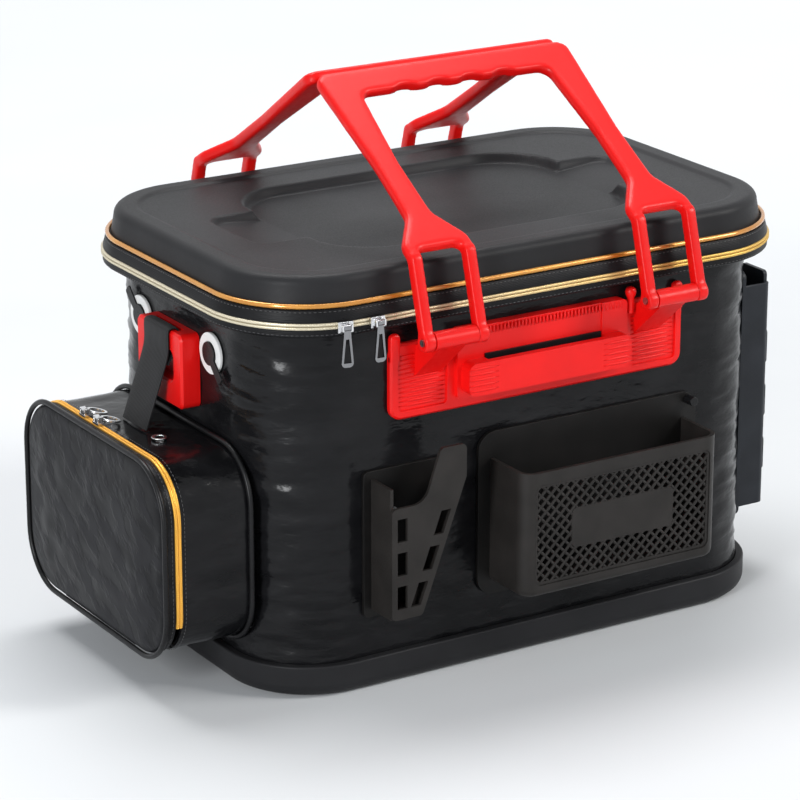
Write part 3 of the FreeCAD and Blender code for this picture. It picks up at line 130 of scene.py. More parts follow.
# Cloth behind the lid: its swell, and the metres between which it passes from the bucket to the lid
HINGE_ROWS, HINGE_SWELL, HINGE_INSET = 14, 0.5, 0.25
HINGE_FIXED, HINGE_MOVED = (0, 0.1475, 0.2745), (0, 0.1475, 0.2800)
CLOTH_COLUMNS = 24
# Side bag, seen from the left: across is Y, up is Z, and reach is how far out from the middle
BAG_MIDDLE, BAG_HALF, BAG_LOW, BAG_HIGH, BAG_CORNER = 6, 105, 35, 176, 37
BAG_BACK, BAG_ZIP, FLAP_BACK, FLAP_FRONT = 214.4, 270.2, 275.1, 285
BAG_WALL, BAG_SAG, BAG_FOLD, FLAP_CROWN = 3, 2.2, 2.2, 3.2
BAG_ROWS, BAG_BROAD, BAG_CREASE = 16, (26, 60, 46), (70, 26, 17)
BAG_TOP_SHARE, BAG_FULL_SHARE, BAG_BACK_RING = 0.6, 0.25, -30
# Front panel of the bag: how its rim rolls over, its rings, its relief and where they fade in
FLAP_RIM = ((0.5, 7), (0.3, 4), (-0.6, 2), (-2, 0.8), (-4, 0.2))
FLAP_FIRST, FLAP_LAST, FLAP_STEP, FLAP_BACK_RING = -6.5, -69, 2.6, -40
FLAP_BROAD, FLAP_FINE = (1, 34, 15), (1, 15, 11)
FLAP_BROAD_DEPTH, FLAP_FINE_DEPTH = 1.1, 0.5
CROWN_RUN, RELIEF_RUN = 40, 12
# Bindings, zip and stitches of the bag
BAG_PIPING, BAG_PIPING_GAP, BACK_PIPING_REACH, FRONT_PIPING_INSET = 2, 0.2, 1.9, 1
BAG_TOOTH_PITCH, BAG_TOOTH, BAG_TOOTH_OUT = 1.6, (1.4, 2.6, 2.7), 0.2
BACK_TEETH, FRONT_TEETH = 1.2, 3.7
BAG_BED_IN, BAG_BED_OUT, BAG_BED_HALF = -1.2, 0.9, 1.2
BAG_STITCH_PITCH, BAG_STITCH, BAG_SEAM_OUT = 3.2, (2.2, 0.5, 0.5), 0.7
BACK_SEAM_INSET, FRONT_SEAM_REACH = 2.6, 2.5
BAG_HINGE_ROWS, BAG_HINGE_FIXED, BAG_HINGE_MOVED = 12, BAG_ZIP + 0.3, FLAP_BACK - 0.1
# Webbing between the side bracket and the bag: its path as reach from the wall and height
STRAP_HALF, STRAP_THICK, STRAP_BOW, STRAP_GAP = 18, 1.5, 0.25, 0.2
STRAP_SPOTS, STRAP_STEPS = 6, 5
STRAP_PATH = (
    (17.2, 222), (13.0, 228.4), (9.2, 230.2), (8.4, 233.5), (8.4, 244), (9.2, 247.8), (12.5, 248.7),
    (15.8, 247.8), (16.7, 244), (16.9, 232), (19.4, 222), (27.2, 200), (35.6, 176.8),
)
# Rows of small bars on the brackets: count, start, step and size
PANEL_RIBS = (12, (98, 134.9, 206.5), (0, 0, 3.3), (39, 1.5, 1.9))
BRIDGE_RIBS = (5, (57, 151.2, 213), (0, 0, 4), (26, 1.3, 1.9))
TOP_TEETH = (45, (-66, 140.2, 252.4), (3, 0, 0), (1.8, 1.6, 5.4))
# Ears and nub of the brackets: place, and half width or radius at each height
EAR_X, EAR_Y, EAR_CORNER, EAR_HALF = 120, 134, 1.5, 4
EAR_DEPTH, EAR_RINGS = 2.7, ((4, 240), (4, 256), (3.6, 258), (2.6, 259.4), (1.2, 260))
NUB_X, NUB_Y, NUB_SIDES = 77, 137, 14
NUB_RINGS = ((2.6, 244), (2.6, 255), (3.6, 257), (4.2, 259.5), (3.4, 262), (1.6, 263.2))
# Painted shade in the strap slot, a thin black sheet on its far wall: half length, low and high edge, and
# depths
SLOT_SHADE_HALF, SLOT_SHADE_LOW, SLOT_SHADE_HIGH, SLOT_SHADE_DEPTHS = 49, 209.5, 235.5, (139.4, 140.7)
# Caps of the air plugs: where they sit on the left end, and how much of their thickness and radius shows
PLUG_MIDDLES, PLUG_HEIGHT, PLUG_CAP = (-46, 58), 238, 9.95
PLUG_FACE, PLUG_THIN, PLUG_SHRINK = 216.95, 0.42, 0.87
# Net in the front pocket, its frame and its bare oblong
NET_PITCH, NET_BAR, NET_THICK, NET_LAP = 8.3, 1.9, 1.5, 0.1
NET_FRAME, NET_FRAME_HALF, NET_CORNER = 2.2, 1, 4
LABEL_HALF, LABEL_THICK_HALF = (44, 15), 0.9
# Rounding of moulded edges: steps and least angle, and the squares and passes of a softened skin
EDGE_STEPS, EDGE_ANGLE, TAPE_EDGE = 2, 38, 0.35
SKIN_GRAIN, SKIN_PASSES = 1.3, 11
# Hard pieces that keep their CAD shape: finish, rounding and nodes
PLAIN_PARTS = (
    ("moulded_foam", 0.6, ("base_tray",)),
    ("tape", 0.6, ("rim_band",)),
    ("grey_plastic", 0.7, ("mesh_pocket", "tool_holder")),
    # The back plates of the pocket and the tool holder are near-black: partly their own tone, partly painted
    # shade inside them
    ("shaded_dark_plastic", 0.7, ("pocket_plate", "holder_plate")),
    ("slate_plastic", 0.9, ("rod_holder", "rod_plate")),
    ("white_plastic", 0.5, ("air_ring_front", "air_ring_rear")),
    ("black_plastic", 0.5, ("pocket_peg",)),
)
BRACKET_EDGE, SIDE_BRACKET_EDGE, SMALL_EDGE = 0.9, 0.8, 0.3
# Studio: floor, backdrop, lamps (place, width, height, power and tint, in metres and watts) and the view
FLOOR_HALF, FLOOR_LEVEL = 9000, -0.3
DOME_TINT, DOME_LEVEL, BACKDROP = (0.86, 0.93, 1.0, 1), 0.24, (0.90, 0.92, 0.94, 1)
LAMP_AIM = (0, 0, 0.16)
LAMPS = {
    "key": ((2.3, -2.0, 1.9), 0.9, 1.3, 70, (1, 0.985, 0.96)),
    "fill": ((-2.5, -1.5, 1.0), 0.4, 1.5, 60, (0.97, 0.985, 1)),
    "top": ((0.1, 0.9, 2.5), 2.4, 1.0, 62, (1, 1, 1)),
}
AZIMUTH, ELEVATION, LENS, SENSOR, FAR_END = -31.74, 18.82, 153, 36, 60
DISTANCE, SHIFT_RIGHT, SHIFT_UP = 2587.6, -27.5, 143.5


# Small helpers for shapes

def box_mm(node):
    """The low and high corner of a CAD node in millimetres."""
    low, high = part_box(node)
    return [value / MM for value in low], [value / MM for value in high]


def ease(value):
    """0 below 0, 1 above 1, and a soft step between."""
    held = min(max(value, 0), 1)
    return held * held * (3 - 2 * held)


def ripple(x, y, z, grain, seed):
    """Smooth noise from -1 to 1, with one grain length in millimetres for each axis."""
    return noise.noise(Vector((x / grain[0] + seed, y / grain[1] - seed, z / grain[2] + 2 * seed)))


def oblong(half_u, half_v, corner, steps=(64, 36, 24), middle=(0, 0)):
    """Points round a round-cornered oblong, always the same count for the same steps."""
    corner = max(min(corner, half_u - 0.2, half_v - 0.2), 0.2)
    along_u, along_v, around = steps
    arcs = []
    for side_u, side_v, start in ((1, -1, -90), (1, 1, 0), (-1, 1, 90), (-1, -1, 180)):
        mid_u = middle[0] + side_u * (half_u - corner)
        mid_v = middle[1] + side_v * (half_v - corner)
        turns = [math.radians(start + 90 * step / around) for step in range(around + 1)]
        arcs.append([(mid_u + corner * math.cos(turn), mid_v + corner * math.sin(turn)) for turn in turns])
    points = []
    for index, straight in enumerate((along_v, along_u, along_v, along_u)):
        points += arcs[index]
        here, there = arcs[index][-1], arcs[(index + 1) % 4][0]
        for step in range(1, straight + 1):
            share = step / (straight + 1)
            points.append(tuple(a + (b - a) * share for a, b in zip(here, there)))
    return points


def plan(reach, steps=(64, 36, 24)):
    """The bucket's outline from above, at a reach outside the wall."""
    return oblong(HALF_X + reach, HALF_Y + reach, CORNER + reach, steps)


def bag_outline(grow):
    """The bag's outline seen from the left, grown or shrunk."""
    half_z = (BAG_HIGH - BAG_LOW) / 2
    middle = (BAG_MIDDLE, (BAG_HIGH + BAG_LOW) / 2)
    return oblong(BAG_HALF + grow, half_z + grow, BAG_CORNER + grow, (34, 22, 12), middle)


def level(u, v, up):
    """A point of a level path."""
    return (u, v, up)


def leftwards(u, v, reach):
    """A point of the left end: u is Y, v is Z, and reach goes out along -X."""
    return (-reach, u, v)


def outward(path):
    """Unit normals in the plane of a closed path that runs anticlockwise."""
    normals = []
    for index in range(len(path)):
        before, after = path[index - 1], path[(index + 1) % len(path)]
        run_u, run_v = after[0] - before[0], after[1] - before[1]
        length = math.hypot(run_u, run_v)
        normals.append((run_v / length, -run_u / length))
    return normals


def loft(rings, caps=True, wrap=False):
    """Quads between rings of equal count, with flat ends or joined back to the first ring."""
    count = len(rings[0])
    points = [point for ring in rings for point in ring]
    faces = []
    for row in range(len(rings) if wrap else len(rings) - 1):
        low, high = row * count, (row + 1) % len(rings) * count
        for here in range(count):
            there = (here + 1) % count
            faces.append((low + here, low + there, high + there, high + here))
    if caps:
        faces.append(tuple(range(count)))
        faces.append(tuple(range(len(points) - count, len(points))))
    return points, faces


def carried(point, normal, out, up, turn):
    """A profile point, out and up, carried to a place on a path."""
    return turn(point[0] + normal[0] * out, point[1] + normal[1] * out, up)


def sweep(path, profile, turn=level):
    """A closed tube along a closed path. The profile is out and up from the path."""
    stations = list(zip(path, outward(path)))
    rings = [[carried(point, normal, out, up, turn) for point, normal in stations] for out, up in profile]
    return loft(rings, caps=False, wrap=True)


def ribbon(path, profile, turn=level):
    """A tube along an open path, closed flat at both ends."""
    normals = outward(path)
    normals[0], normals[-1] = normals[1], normals[-2]
    stations = zip(path, normals)
    rings = [[carried(point, normal, out, up, turn) for out, up in profile] for point, normal in stations]
    return loft(rings)


def round_profile(radius, up, sides=10):
    """A round section at a height."""
    turns = [2 * math.pi * side / sides for side in range(sides)]
    return [(radius * math.cos(turn), up + radius * math.sin(turn)) for turn in turns]


def flat_profile(inner, outer, low, high):
    """A flat band with its two outer edges taken off."""
    edge = TAPE_EDGE
    return [
        (inner, low), (outer - edge, low), (outer, low + edge), (outer, high - edge),
        (outer - edge, high), (inner, high),
    ]


def curve_through(points, steps):
    """A smooth open curve through points, by Catmull-Rom."""
    padded = [points[0]] + list(points) + [points[-1]]
    line = []
    for index in range(1, len(padded) - 2):
        p0, p1, p2, p3 = (Vector(padded[index + shift]) for shift in (-1, 0, 1, 2))
        for step in range(steps):
            t = step / steps
            line.append(0.5 * (
                2 * p1 + (p2 - p0) * t + (2 * p0 - 5 * p1 + 4 * p2 - p3) * t ** 2
                + (3 * p1 - p0 - 3 * p2 + p3) * t ** 3
            ))
    line.append(Vector(points[-1]))
    return line


# Small helpers for pieces

def settle(obj, body, nodes=()):
    """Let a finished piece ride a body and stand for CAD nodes."""
    if body:
        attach(obj, body)
    if nodes:
        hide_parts(*nodes)
    return obj


def outward_faces(mesh):
    """Turn all faces of a closed mesh outwards."""
    shell = bmesh.new()
    shell.from_mesh(mesh)
    bmesh.ops.recalc_face_normals(shell, faces=shell.faces)
    shell.to_mesh(mesh)
    shell.free()


def show(name, mesh, look=None):
    """Put a mesh in the scene, in a finish if one is given."""
    if look:
        mesh.materials.clear()
        mesh.materials.append(look)
    obj = bpy.data.objects.new(name, mesh)
    bpy.context.scene.collection.objects.link(obj)
    return obj


def piece(name, shape, look, sharp=50):
    """An object from points in millimetres and faces, shaded smooth but for sharp edges."""
    points, faces = shape
    mesh = bpy.data.meshes.new(name)
    mesh.from_pydata([Vector(point) * MM for point in points], [], faces)
    outward_faces(mesh)
    mesh.shade_smooth()
    mesh.set_sharp_from_angle(angle=math.radians(sharp))
    return show(name, mesh, look)


def merged_mesh(node, name):
    """A clean copy of a CAD node in its place: loose triangles joined, flat faces made whole."""
    source = NODES[node]
    shell = bmesh.new()
    shell.from_mesh(source.data)
    shell.transform(source.matrix_world)
    bmesh.ops.remove_doubles(shell, verts=shell.verts, dist=2e-6)
    flat = math.radians(0.8)
    bmesh.ops.dissolve_limit(shell, angle_limit=flat, verts=shell.verts, edges=shell.edges)
    bmesh.ops.recalc_face_normals(shell, faces=shell.faces)
    shell.verts.index_update()
    points = [vert.co.copy() for vert in shell.verts]
    faces = [[vert.index for vert in face.verts] for face in shell.faces]
    shell.free()
    mesh = bpy.data.meshes.new(name)
    mesh.from_pydata(points, [], faces)
    return mesh


def stand_for(obj, node):
    """Let a piece take over the body of the CAD node that it replaces, and hide that node."""
    return settle(obj, body_of(NODES[node])[0], [node])


def eased(node, look, width, reshape=None):
    """A moulded look for a hard CAD piece: the same shape with its edges rounded."""
    mesh = merged_mesh(node, f"{node}_eased")
    for vert in mesh.vertices if reshape else ():
        vert.co = reshape(vert.co)
    mesh.shade_smooth()
    obj = show(f"{node}_eased", mesh, look)
    soft = obj.modifiers.new("edges", "BEVEL")
    soft.width = width * MM
    soft.segments = EDGE_STEPS
    soft.limit_method = "ANGLE"
    soft.angle_limit = math.radians(EDGE_ANGLE)
    soft.harden_normals = False
    even = obj.modifiers.new("normals", "WEIGHTED_NORMAL")
    even.keep_sharp = True
    return stand_for(obj, node)


def moulded(node, look):
    """A softly moulded look for a CAD piece: skinned afresh in small squares and smoothed."""
    rough = show(f"{node}_rough", merged_mesh(node, f"{node}_rough"))
    skin = rough.modifiers.new("skin", "REMESH")
    skin.mode = "VOXEL"
    skin.voxel_size = SKIN_GRAIN * MM
    soft = rough.modifiers.new("soft", "SMOOTH")
    soft.factor = 0.5
    soft.iterations = SKIN_PASSES
    graph = bpy.context.evaluated_depsgraph_get()
    mesh = bpy.data.meshes.new_from_object(rough.evaluated_get(graph))
    bpy.data.objects.remove(rough)
    mesh.name = f"{node}_moulded"
    outward_faces(mesh)
    mesh.shade_smooth()
    return stand_for(show(f"{node}_moulded", mesh, look), node)


# Materials

def wire(tree, kind, inputs, settings):
    """Add a node to a tree, with its settings, its values and its links."""
    node = tree.nodes.new(kind)
    for name, value in settings.items():
        setattr(node, name, value)
    for name, value in inputs.items():
        if isinstance(value, bpy.types.NodeSocket):
            tree.links.new(value, node.inputs[name])
        else:
            node.inputs[name].default_value = value
    return node


class Look:
    """A material being wired: each call adds a node and gives back its output."""

    def __init__(self, name, **settings):
        self.made = bpy.data.materials.new(name)
        self.made.use_nodes = True
        self.tree = self.made.node_tree
        self.shader = self.tree.nodes["Principled BSDF"]
        self.normal = None
        place = self.tree.nodes.new("ShaderNodeTexCoord")
        self.place = place.outputs["Object"]
        for socket, value in settings.items():
            self.shader.inputs[socket.replace("_", " ")].default_value = value

    def add(self, kind, inputs, **settings):
        """Add a node of a kind to this material."""
        return wire(self.tree, kind, inputs, settings)

    def stretch(self, longer, turn):
        """Object coordinates turned and then stretched, so that a pattern is longer along some axes."""
        if tuple(longer) == (1, 1, 1):
            return self.place
        angles = [math.radians(angle) for angle in turn]
        inputs = {"Vector": self.place, "Scale": longer, "Rotation": angles}
        return self.add("ShaderNodeMapping", inputs, vector_type="TEXTURE").outputs[0]

    def grain(self, size, detail=2.0, longer=(1, 1, 1), kind="FBM", turn=(0, 0, 0)):
        """Noise with features of a size in millimetres, from about 0 to 1."""
        inputs = {"Vector": self.stretch(longer, turn), "Scale": METRE / size, "Detail": detail}
        return self.add("ShaderNodeTexNoise", inputs, noise_dimensions="3D", noise_type=kind).outputs[0]

    def bands(self, period, axis, twist=0.0):
        """Ribs with a period in millimetres across one axis."""
        at_scale_one = 314.16
        inputs = {"Vector": self.place, "Scale": at_scale_one / period, "Distortion": twist, "Detail": 1.0}
        ribs = self.add("ShaderNodeTexWave", inputs, wave_type="BANDS", bands_direction=axis)
        return ribs.outputs["Fac"]

    def ramp(self, source, stops):
        """Colours along a value, as places and tones."""
        node = self.add("ShaderNodeValToRGB", {"Fac": source})
        edges = node.color_ramp.elements
        while len(edges) < len(stops):
            edges.new(0.5)
        for edge, (position, colour) in zip(edges, stops):
            edge.position = position
            edge.color = (*colour, 1)
        return node.outputs["Color"]

    def span(self, source, low, high, start=0.3, end=0.7):
        """A value from start to end, laid out from low to high."""
        inputs = {"Value": source, "From Min": start, "From Max": end, "To Min": low, "To Max": high}
        return self.add("ShaderNodeMapRange", inputs).outputs["Result"]

    def colour(self, source):
        """Colour the shader from a source."""
        self.tree.links.new(source, self.shader.inputs["Base Color"])

    def rough(self, source):
        """Set the shader's roughness from a source."""
        self.tree.links.new(source, self.shader.inputs["Roughness"])

    def bump(self, height, depth, strength=1.0):
        """Relief of a depth in millimetres, added to any relief so far."""
        inputs = {"Height": height, "Strength": strength, "Distance": depth * MM}
        if self.normal:
            inputs["Normal"] = self.normal
        self.normal = self.add("ShaderNodeBump", inputs).outputs["Normal"]
        self.tree.links.new(self.normal, self.shader.inputs["Normal"])


def foam_look():
    """Matt charcoal moulded foam with a fine grain."""
    look = Look("moulded_foam", Specular_IOR_Level=0.13)
    fine = look.grain(0.9, 3)
    cloud = look.grain(60, 3)
    look.colour(look.ramp(cloud, [(0.3, (0.0150, 0.0150, 0.0162)), (0.72, (0.0225, 0.0225, 0.0242))]))
    look.rough(look.span(fine, 0.40, 0.52))
    look.bump(fine, 0.10, 0.4)
    look.bump(look.grain(9, 2), 0.2, 0.2)
    return look.made


def laminate_look():
    """Black semi-gloss laminate with crumples pressed into it, longer along the wall than up it."""
    look = Look("laminate", Specular_IOR_Level=0.17)
    wide = (2.4, 2.4, 1)
    folds = look.grain(15, 4, wide)
    ridges = look.grain(26, 2.5, wide, "RIDGED_MULTIFRACTAL")
    fine = look.grain(1.1, 2)
    look.colour(look.ramp(folds, [(0.3, (0.0045, 0.0045, 0.0052)), (0.7, (0.0095, 0.0095, 0.0105))]))
    look.rough(look.span(folds, 0.13, 0.23))
    look.bump(folds, 1.7, 0.8)
    look.bump(ridges, 1.1, 0.6)
    look.bump(look.grain(6.5, 2, wide), 0.7, 0.7)
    look.bump(fine, 0.05, 0.3)
    return look.made


def embossed_look():
    """The bag's front: the same laminate, more matt, with leaf-like patches raised in it."""
    look = Look("embossed_laminate", Specular_IOR_Level=0.15)
    leaves = look.grain(15, 4, (1, 1, 1.7), "FBM", (-52, 0, 0))
    edges = look.span(leaves, 0.0, 1.0, 0.46, 0.56)
    fine = look.grain(0.9, 2)
    look.colour(look.ramp(edges, [(0.0, (0.0048, 0.0048, 0.0057)), (1.0, (0.0115, 0.0115, 0.0133))]))
    look.rough(look.span(edges, 0.36, 0.50, 0, 1))
    look.bump(edges, 0.5, 0.6)
    look.bump(look.grain(13, 3, (1, 1.9, 1), "FBM", (24, 0, 0)), 0.8, 0.5)
    look.bump(fine, 0.06, 0.4)
    return look.made


def tape_look():
    """Black woven zip tape and binding."""
    look = Look("zip_tape", Specular_IOR_Level=0.14)
    cloud = look.grain(18, 3)
    look.colour(look.ramp(cloud, [(0.3, (0.0040, 0.0040, 0.0046)), (0.7, (0.0085, 0.0085, 0.0095))]))
    look.rough(look.span(cloud, 0.36, 0.5))
    look.bump(look.bands(1.1, "Z", 0.4), 0.12, 0.5)
    look.bump(look.bands(1.3, "DIAGONAL", 0.4), 0.10, 0.4)
    return look.made


def webbing_look():
    """Black ribbed webbing."""
    look = Look("webbing", Specular_IOR_Level=0.25, Sheen_Weight=0.05)
    cloud = look.grain(14, 3)
    ribs = look.bands(1.8, "Y", 0.2)
    look.colour(look.ramp(cloud, [(0.3, (0.004, 0.004, 0.0045)), (0.7, (0.009, 0.009, 0.010))]))
    look.rough(look.span(ribs, 0.5, 0.7))
    look.bump(ribs, 0.14, 0.6)
    look.bump(look.bands(1.1, "Z", 0.6), 0.12, 0.5)
    return look.made


def piping_look():
    """Glossy orange-gold piping."""
    look = Look("gold_piping", Metallic=0.45, Coat_Weight=0.6, Coat_Roughness=0.08)
    cloud = look.grain(22, 3)
    look.colour(look.ramp(cloud, [(0.3, (0.50, 0.19, 0.018)), (0.7, (0.66, 0.30, 0.045))]))
    look.rough(look.span(cloud, 0.16, 0.28))
    look.bump(look.grain(2.4, 2), 0.12, 0.4)
    return look.made


def chain_look(name, left, right, reach):
    """Metallic zip teeth with a painted reflection along the front: lighter at the left end, deeper in tone
    to the right.
    """
    look = Look(name, Metallic=0.55)
    sides = look.add("ShaderNodeSeparateXYZ", {"Vector": look.place}).outputs["X"]
    along = look.span(sides, 0.0, 1.0, -reach * MM, reach * MM)
    look.colour(look.ramp(along, [(0.1, left), (0.75, right)]))
    look.rough(look.span(look.grain(3, 2), 0.30, 0.44))
    return look.made


def red_look():
    """Vivid satin red plastic with faint moulding flow and scuffs."""
    look = Look("red_plastic", Specular_IOR_Level=0.26)
    flow = look.grain(55, 3)
    scuff = look.grain(4, 4, (1, 1, 3))
    look.colour(look.ramp(flow, [(0.3, (0.70, 0.0045, 0.0040)), (0.7, (0.82, 0.0070, 0.0060))]))
    look.rough(look.span(scuff, 0.28, 0.42))
    look.bump(look.grain(0.8, 2), 0.04, 0.35)
    return look.made


def metal_look(name, tone, roughness):
    """Metal with fine brushing."""
    look = Look(name, Metallic=1.0)
    brush = look.grain(0.8, 3, (1, 1, 6))
    darker = [value * 0.8 for value in tone]
    look.colour(look.ramp(brush, [(0.25, darker), (0.75, tone)]))
    look.rough(look.span(brush, *roughness))
    look.bump(brush, 0.02, 0.3)
    return look.made


def plastic_look(name, dark, pale, roughness, grain_depth):
    """Moulded plastic: a clouded tone and a fine spark-eroded grain."""
    look = Look(name, Specular_IOR_Level=0.2)
    cloud = look.grain(26, 3)
    fine = look.grain(0.7, 2)
    look.colour(look.ramp(cloud, [(0.3, dark), (0.7, pale)]))
    look.rough(look.span(fine, *roughness))
    look.bump(fine, grain_depth, 0.5)
    return look.made


def thread_look():
    """Dark sewing thread."""
    look = Look("thread", Sheen_Weight=0.3)
    twist = look.grain(0.8, 2)
    look.colour(look.ramp(twist, [(0.3, (0.020, 0.020, 0.022)), (0.7, (0.045, 0.045, 0.048))]))
    look.rough(look.span(twist, 0.5, 0.7))
    return look.made


def background_rays(tree):
    """1 on the rays that show the background: from the camera, off metal and through glass."""
    rays = tree.nodes.new("ShaderNodeLightPath").outputs
    shown = rays["Is Camera Ray"]
    for kind in ("Is Glossy Ray", "Is Transmission Ray"):
        either = tree.nodes.new("ShaderNodeMath")
        either.operation = "MAXIMUM"
        tree.links.new(shown, either.inputs[0])
        tree.links.new(rays[kind], either.inputs[1])
        shown = either.outputs[0]
    return shown


def floor_look():
    """Pale floor that brightens far out, so that it runs into the backdrop without a horizon."""
    look = Look("floor", Specular_IOR_Level=0.2, Emission_Color=BACKDROP)
    cloud = look.grain(300, 3)
    far = look.add("ShaderNodeVectorMath", {0: look.place}, operation="LENGTH").outputs["Value"]
    haze = look.span(far, 0.0, 0.72, 0.8, 3.2)
    seen = background_rays(look.tree)
    shown = look.add("ShaderNodeMath", {0: haze, 1: seen}, operation="MULTIPLY").outputs[0]
    look.tree.links.new(shown, look.shader.inputs["Emission Strength"])
    look.colour(look.ramp(cloud, [(0.3, (0.70, 0.715, 0.73)), (0.7, (0.73, 0.745, 0.76))]))
    look.rough(look.span(cloud, 0.75, 0.85))
    return look.made


# Zip chains: tone at the left, tone at the right, and the reach over which it changes; the change is a
# painted reflection, lighter at the left
CHAINS = {
    "gold_chain": ("zip_teeth", (0.62, 0.56, 0.42), (0.66, 0.42, 0.10), 230),
    "bag_chain": ("bag_zip_teeth", (0.78, 0.40, 0.055), (0.70, 0.36, 0.05), 300),
}
# Metals: tone and span of roughness
METALS = {
    "steel": ((0.55, 0.55, 0.56), (0.25, 0.4)),
    "alloy": ((0.42, 0.42, 0.43), (0.35, 0.5)),
    "dark_chrome": ((0.30, 0.30, 0.31), (0.10, 0.2)),
    "bright_metal": ((0.80, 0.80, 0.81), (0.14, 0.26)),
}
# Plastics: darkest and palest tone, span of roughness and depth of the grain
PLASTICS = {
    "white_plastic": ((0.74, 0.74, 0.73), (0.84, 0.84, 0.83), (0.3, 0.42), 0.03),
    "black_plastic": ((0.005, 0.005, 0.0055), (0.010, 0.010, 0.011), (0.24, 0.38), 0.04),
    "grey_plastic": ((0.014, 0.0125, 0.0115), (0.023, 0.0205, 0.019), (0.40, 0.54), 0.08),
    # Near-black for the back plates of the pocket and the tool holder: partly their own tone, partly painted
    # shade
    "shaded_dark_plastic": ((0.0042, 0.0038, 0.0036), (0.0080, 0.0072, 0.0068), (0.4, 0.54), 0.06),
    "slate_plastic": ((0.013, 0.015, 0.019), (0.021, 0.024, 0.030), (0.40, 0.52), 0.07),
}
LOOKS = {
    "moulded_foam": foam_look(),
    "laminate": laminate_look(),
    "embossed": embossed_look(),
    "tape": tape_look(),
    "webbing": webbing_look(),
    "gold_piping": piping_look(),
    "red_plastic": red_look(),
    "thread": thread_look(),
}
LOOKS.update({slot: chain_look(*values) for slot, values in CHAINS.items()})
LOOKS.update({slot: metal_look(slot, *values) for slot, values in METALS.items()})
LOOKS.update({slot: plastic_look(slot, *values) for slot, values in PLASTICS.items()})


# Geometry Nodes for what repeats

def new_tree(name, inputs):
    """An empty tree with a geometry input, named inputs and a geometry output."""
    tree = bpy.data.node_groups.new(name, "GeometryNodeTree")
    tree.interface.new_socket("Geometry", in_out="INPUT", socket_type="NodeSocketGeometry")
    for label, kind in inputs:
        tree.interface.new_socket(label, in_out="INPUT", socket_type=kind)
    tree.interface.new_socket("Geometry", in_out="OUTPUT", socket_type="NodeSocketGeometry")
    return tree, tree.nodes.new("NodeGroupInput").outputs, tree.nodes.new("NodeGroupOutput").inputs


def add_node(tree, kind, inputs, **settings):
    """Add a node to a tree and give back its outputs."""
    return wire(tree, kind, inputs, settings).outputs


def end_tree(tree, instances, material, result):
    """Make the instances real, shade them smooth, paint them and hand them out."""
    real = add_node(tree, "GeometryNodeRealizeInstances", {"Geometry": instances})["Geometry"]
    smooth = add_node(tree, "GeometryNodeSetShadeSmooth", {"Geometry": real})["Geometry"]
    inputs = {"Geometry": smooth, "Material": material}
    painted = add_node(tree, "GeometryNodeSetMaterial", inputs)["Geometry"]
    tree.links.new(painted, result["Geometry"])


def bead_tree():
    """Equal round beads along a path, each turned to follow it."""
    kinds = [("Pitch", "NodeSocketFloat"), ("Size", "NodeSocketVector"), ("Material", "NodeSocketMaterial")]
    tree, given, result = new_tree("beads_on_a_path", kinds)
    curve = add_node(tree, "GeometryNodeMeshToCurve", {"Mesh": given["Geometry"]})["Curve"]
    inputs = {"Curve": curve, "Length": given["Pitch"]}
    even = add_node(tree, "GeometryNodeResampleCurve", inputs, mode="LENGTH")["Curve"]
    inputs = {"Vector": add_node(tree, "GeometryNodeInputTangent", {})["Tangent"]}
    turn = add_node(tree, "FunctionNodeAlignRotationToVector", inputs, axis="X", pivot_axis="Z")["Rotation"]
    inputs = {"Segments": 8, "Rings": 5, "Radius": 0.5}
    bead = add_node(tree, "GeometryNodeMeshUVSphere", inputs)["Mesh"]
    inputs = {"Points": even, "Instance": bead, "Rotation": turn, "Scale": given["Size"]}
    beads = add_node(tree, "GeometryNodeInstanceOnPoints", inputs)["Instances"]
    end_tree(tree, beads, given["Material"], result)
    return tree


def bar_tree():
    """A straight row of equal bars."""
    kinds = [
        ("Count", "NodeSocketInt"), ("Start", "NodeSocketVector"), ("Step", "NodeSocketVector"),
        ("Size", "NodeSocketVector"), ("Material", "NodeSocketMaterial"),
    ]
    tree, given, result = new_tree("bars_in_a_row", kinds)
    inputs = {"Count": given["Count"], "Start Location": given["Start"], "Offset": given["Step"]}
    line = add_node(tree, "GeometryNodeMeshLine", inputs, mode="OFFSET")["Mesh"]
    bar = add_node(tree, "GeometryNodeMeshUVSphere", {"Segments": 8, "Rings": 6, "Radius": 0.5})["Mesh"]
    inputs = {"Points": line, "Instance": bar, "Scale": given["Size"]}
    bars = add_node(tree, "GeometryNodeInstanceOnPoints", inputs)["Instances"]
    end_tree(tree, bars, given["Material"], result)
    return tree


def strand_tree():
    """A flat bar along every edge of a mesh in the XZ plane."""
    kinds = [("Width", "NodeSocketFloat"), ("Depth", "NodeSocketFloat"), ("Material", "NodeSocketMaterial")]
    tree, given, result = new_tree("strands_along_edges", kinds)
    lines = add_node(tree, "GeometryNodeMeshToCurve", {"Mesh": given["Geometry"]})["Curve"]
    upright = add_node(tree, "GeometryNodeSetCurveNormal", {"Curve": lines}, mode="Z_UP")["Curve"]
    inputs = {"Width": given["Depth"], "Height": given["Width"]}
    section = add_node(tree, "GeometryNodeCurvePrimitiveQuadrilateral", inputs)["Curve"]
    inputs = {"Curve": upright, "Profile Curve": section, "Fill Caps": True}
    strands = add_node(tree, "GeometryNodeCurveToMesh", inputs)["Mesh"]
    end_tree(tree, strands, given["Material"], result)
    return tree


BEADS, BARS, STRANDS = bead_tree(), bar_tree(), strand_tree()


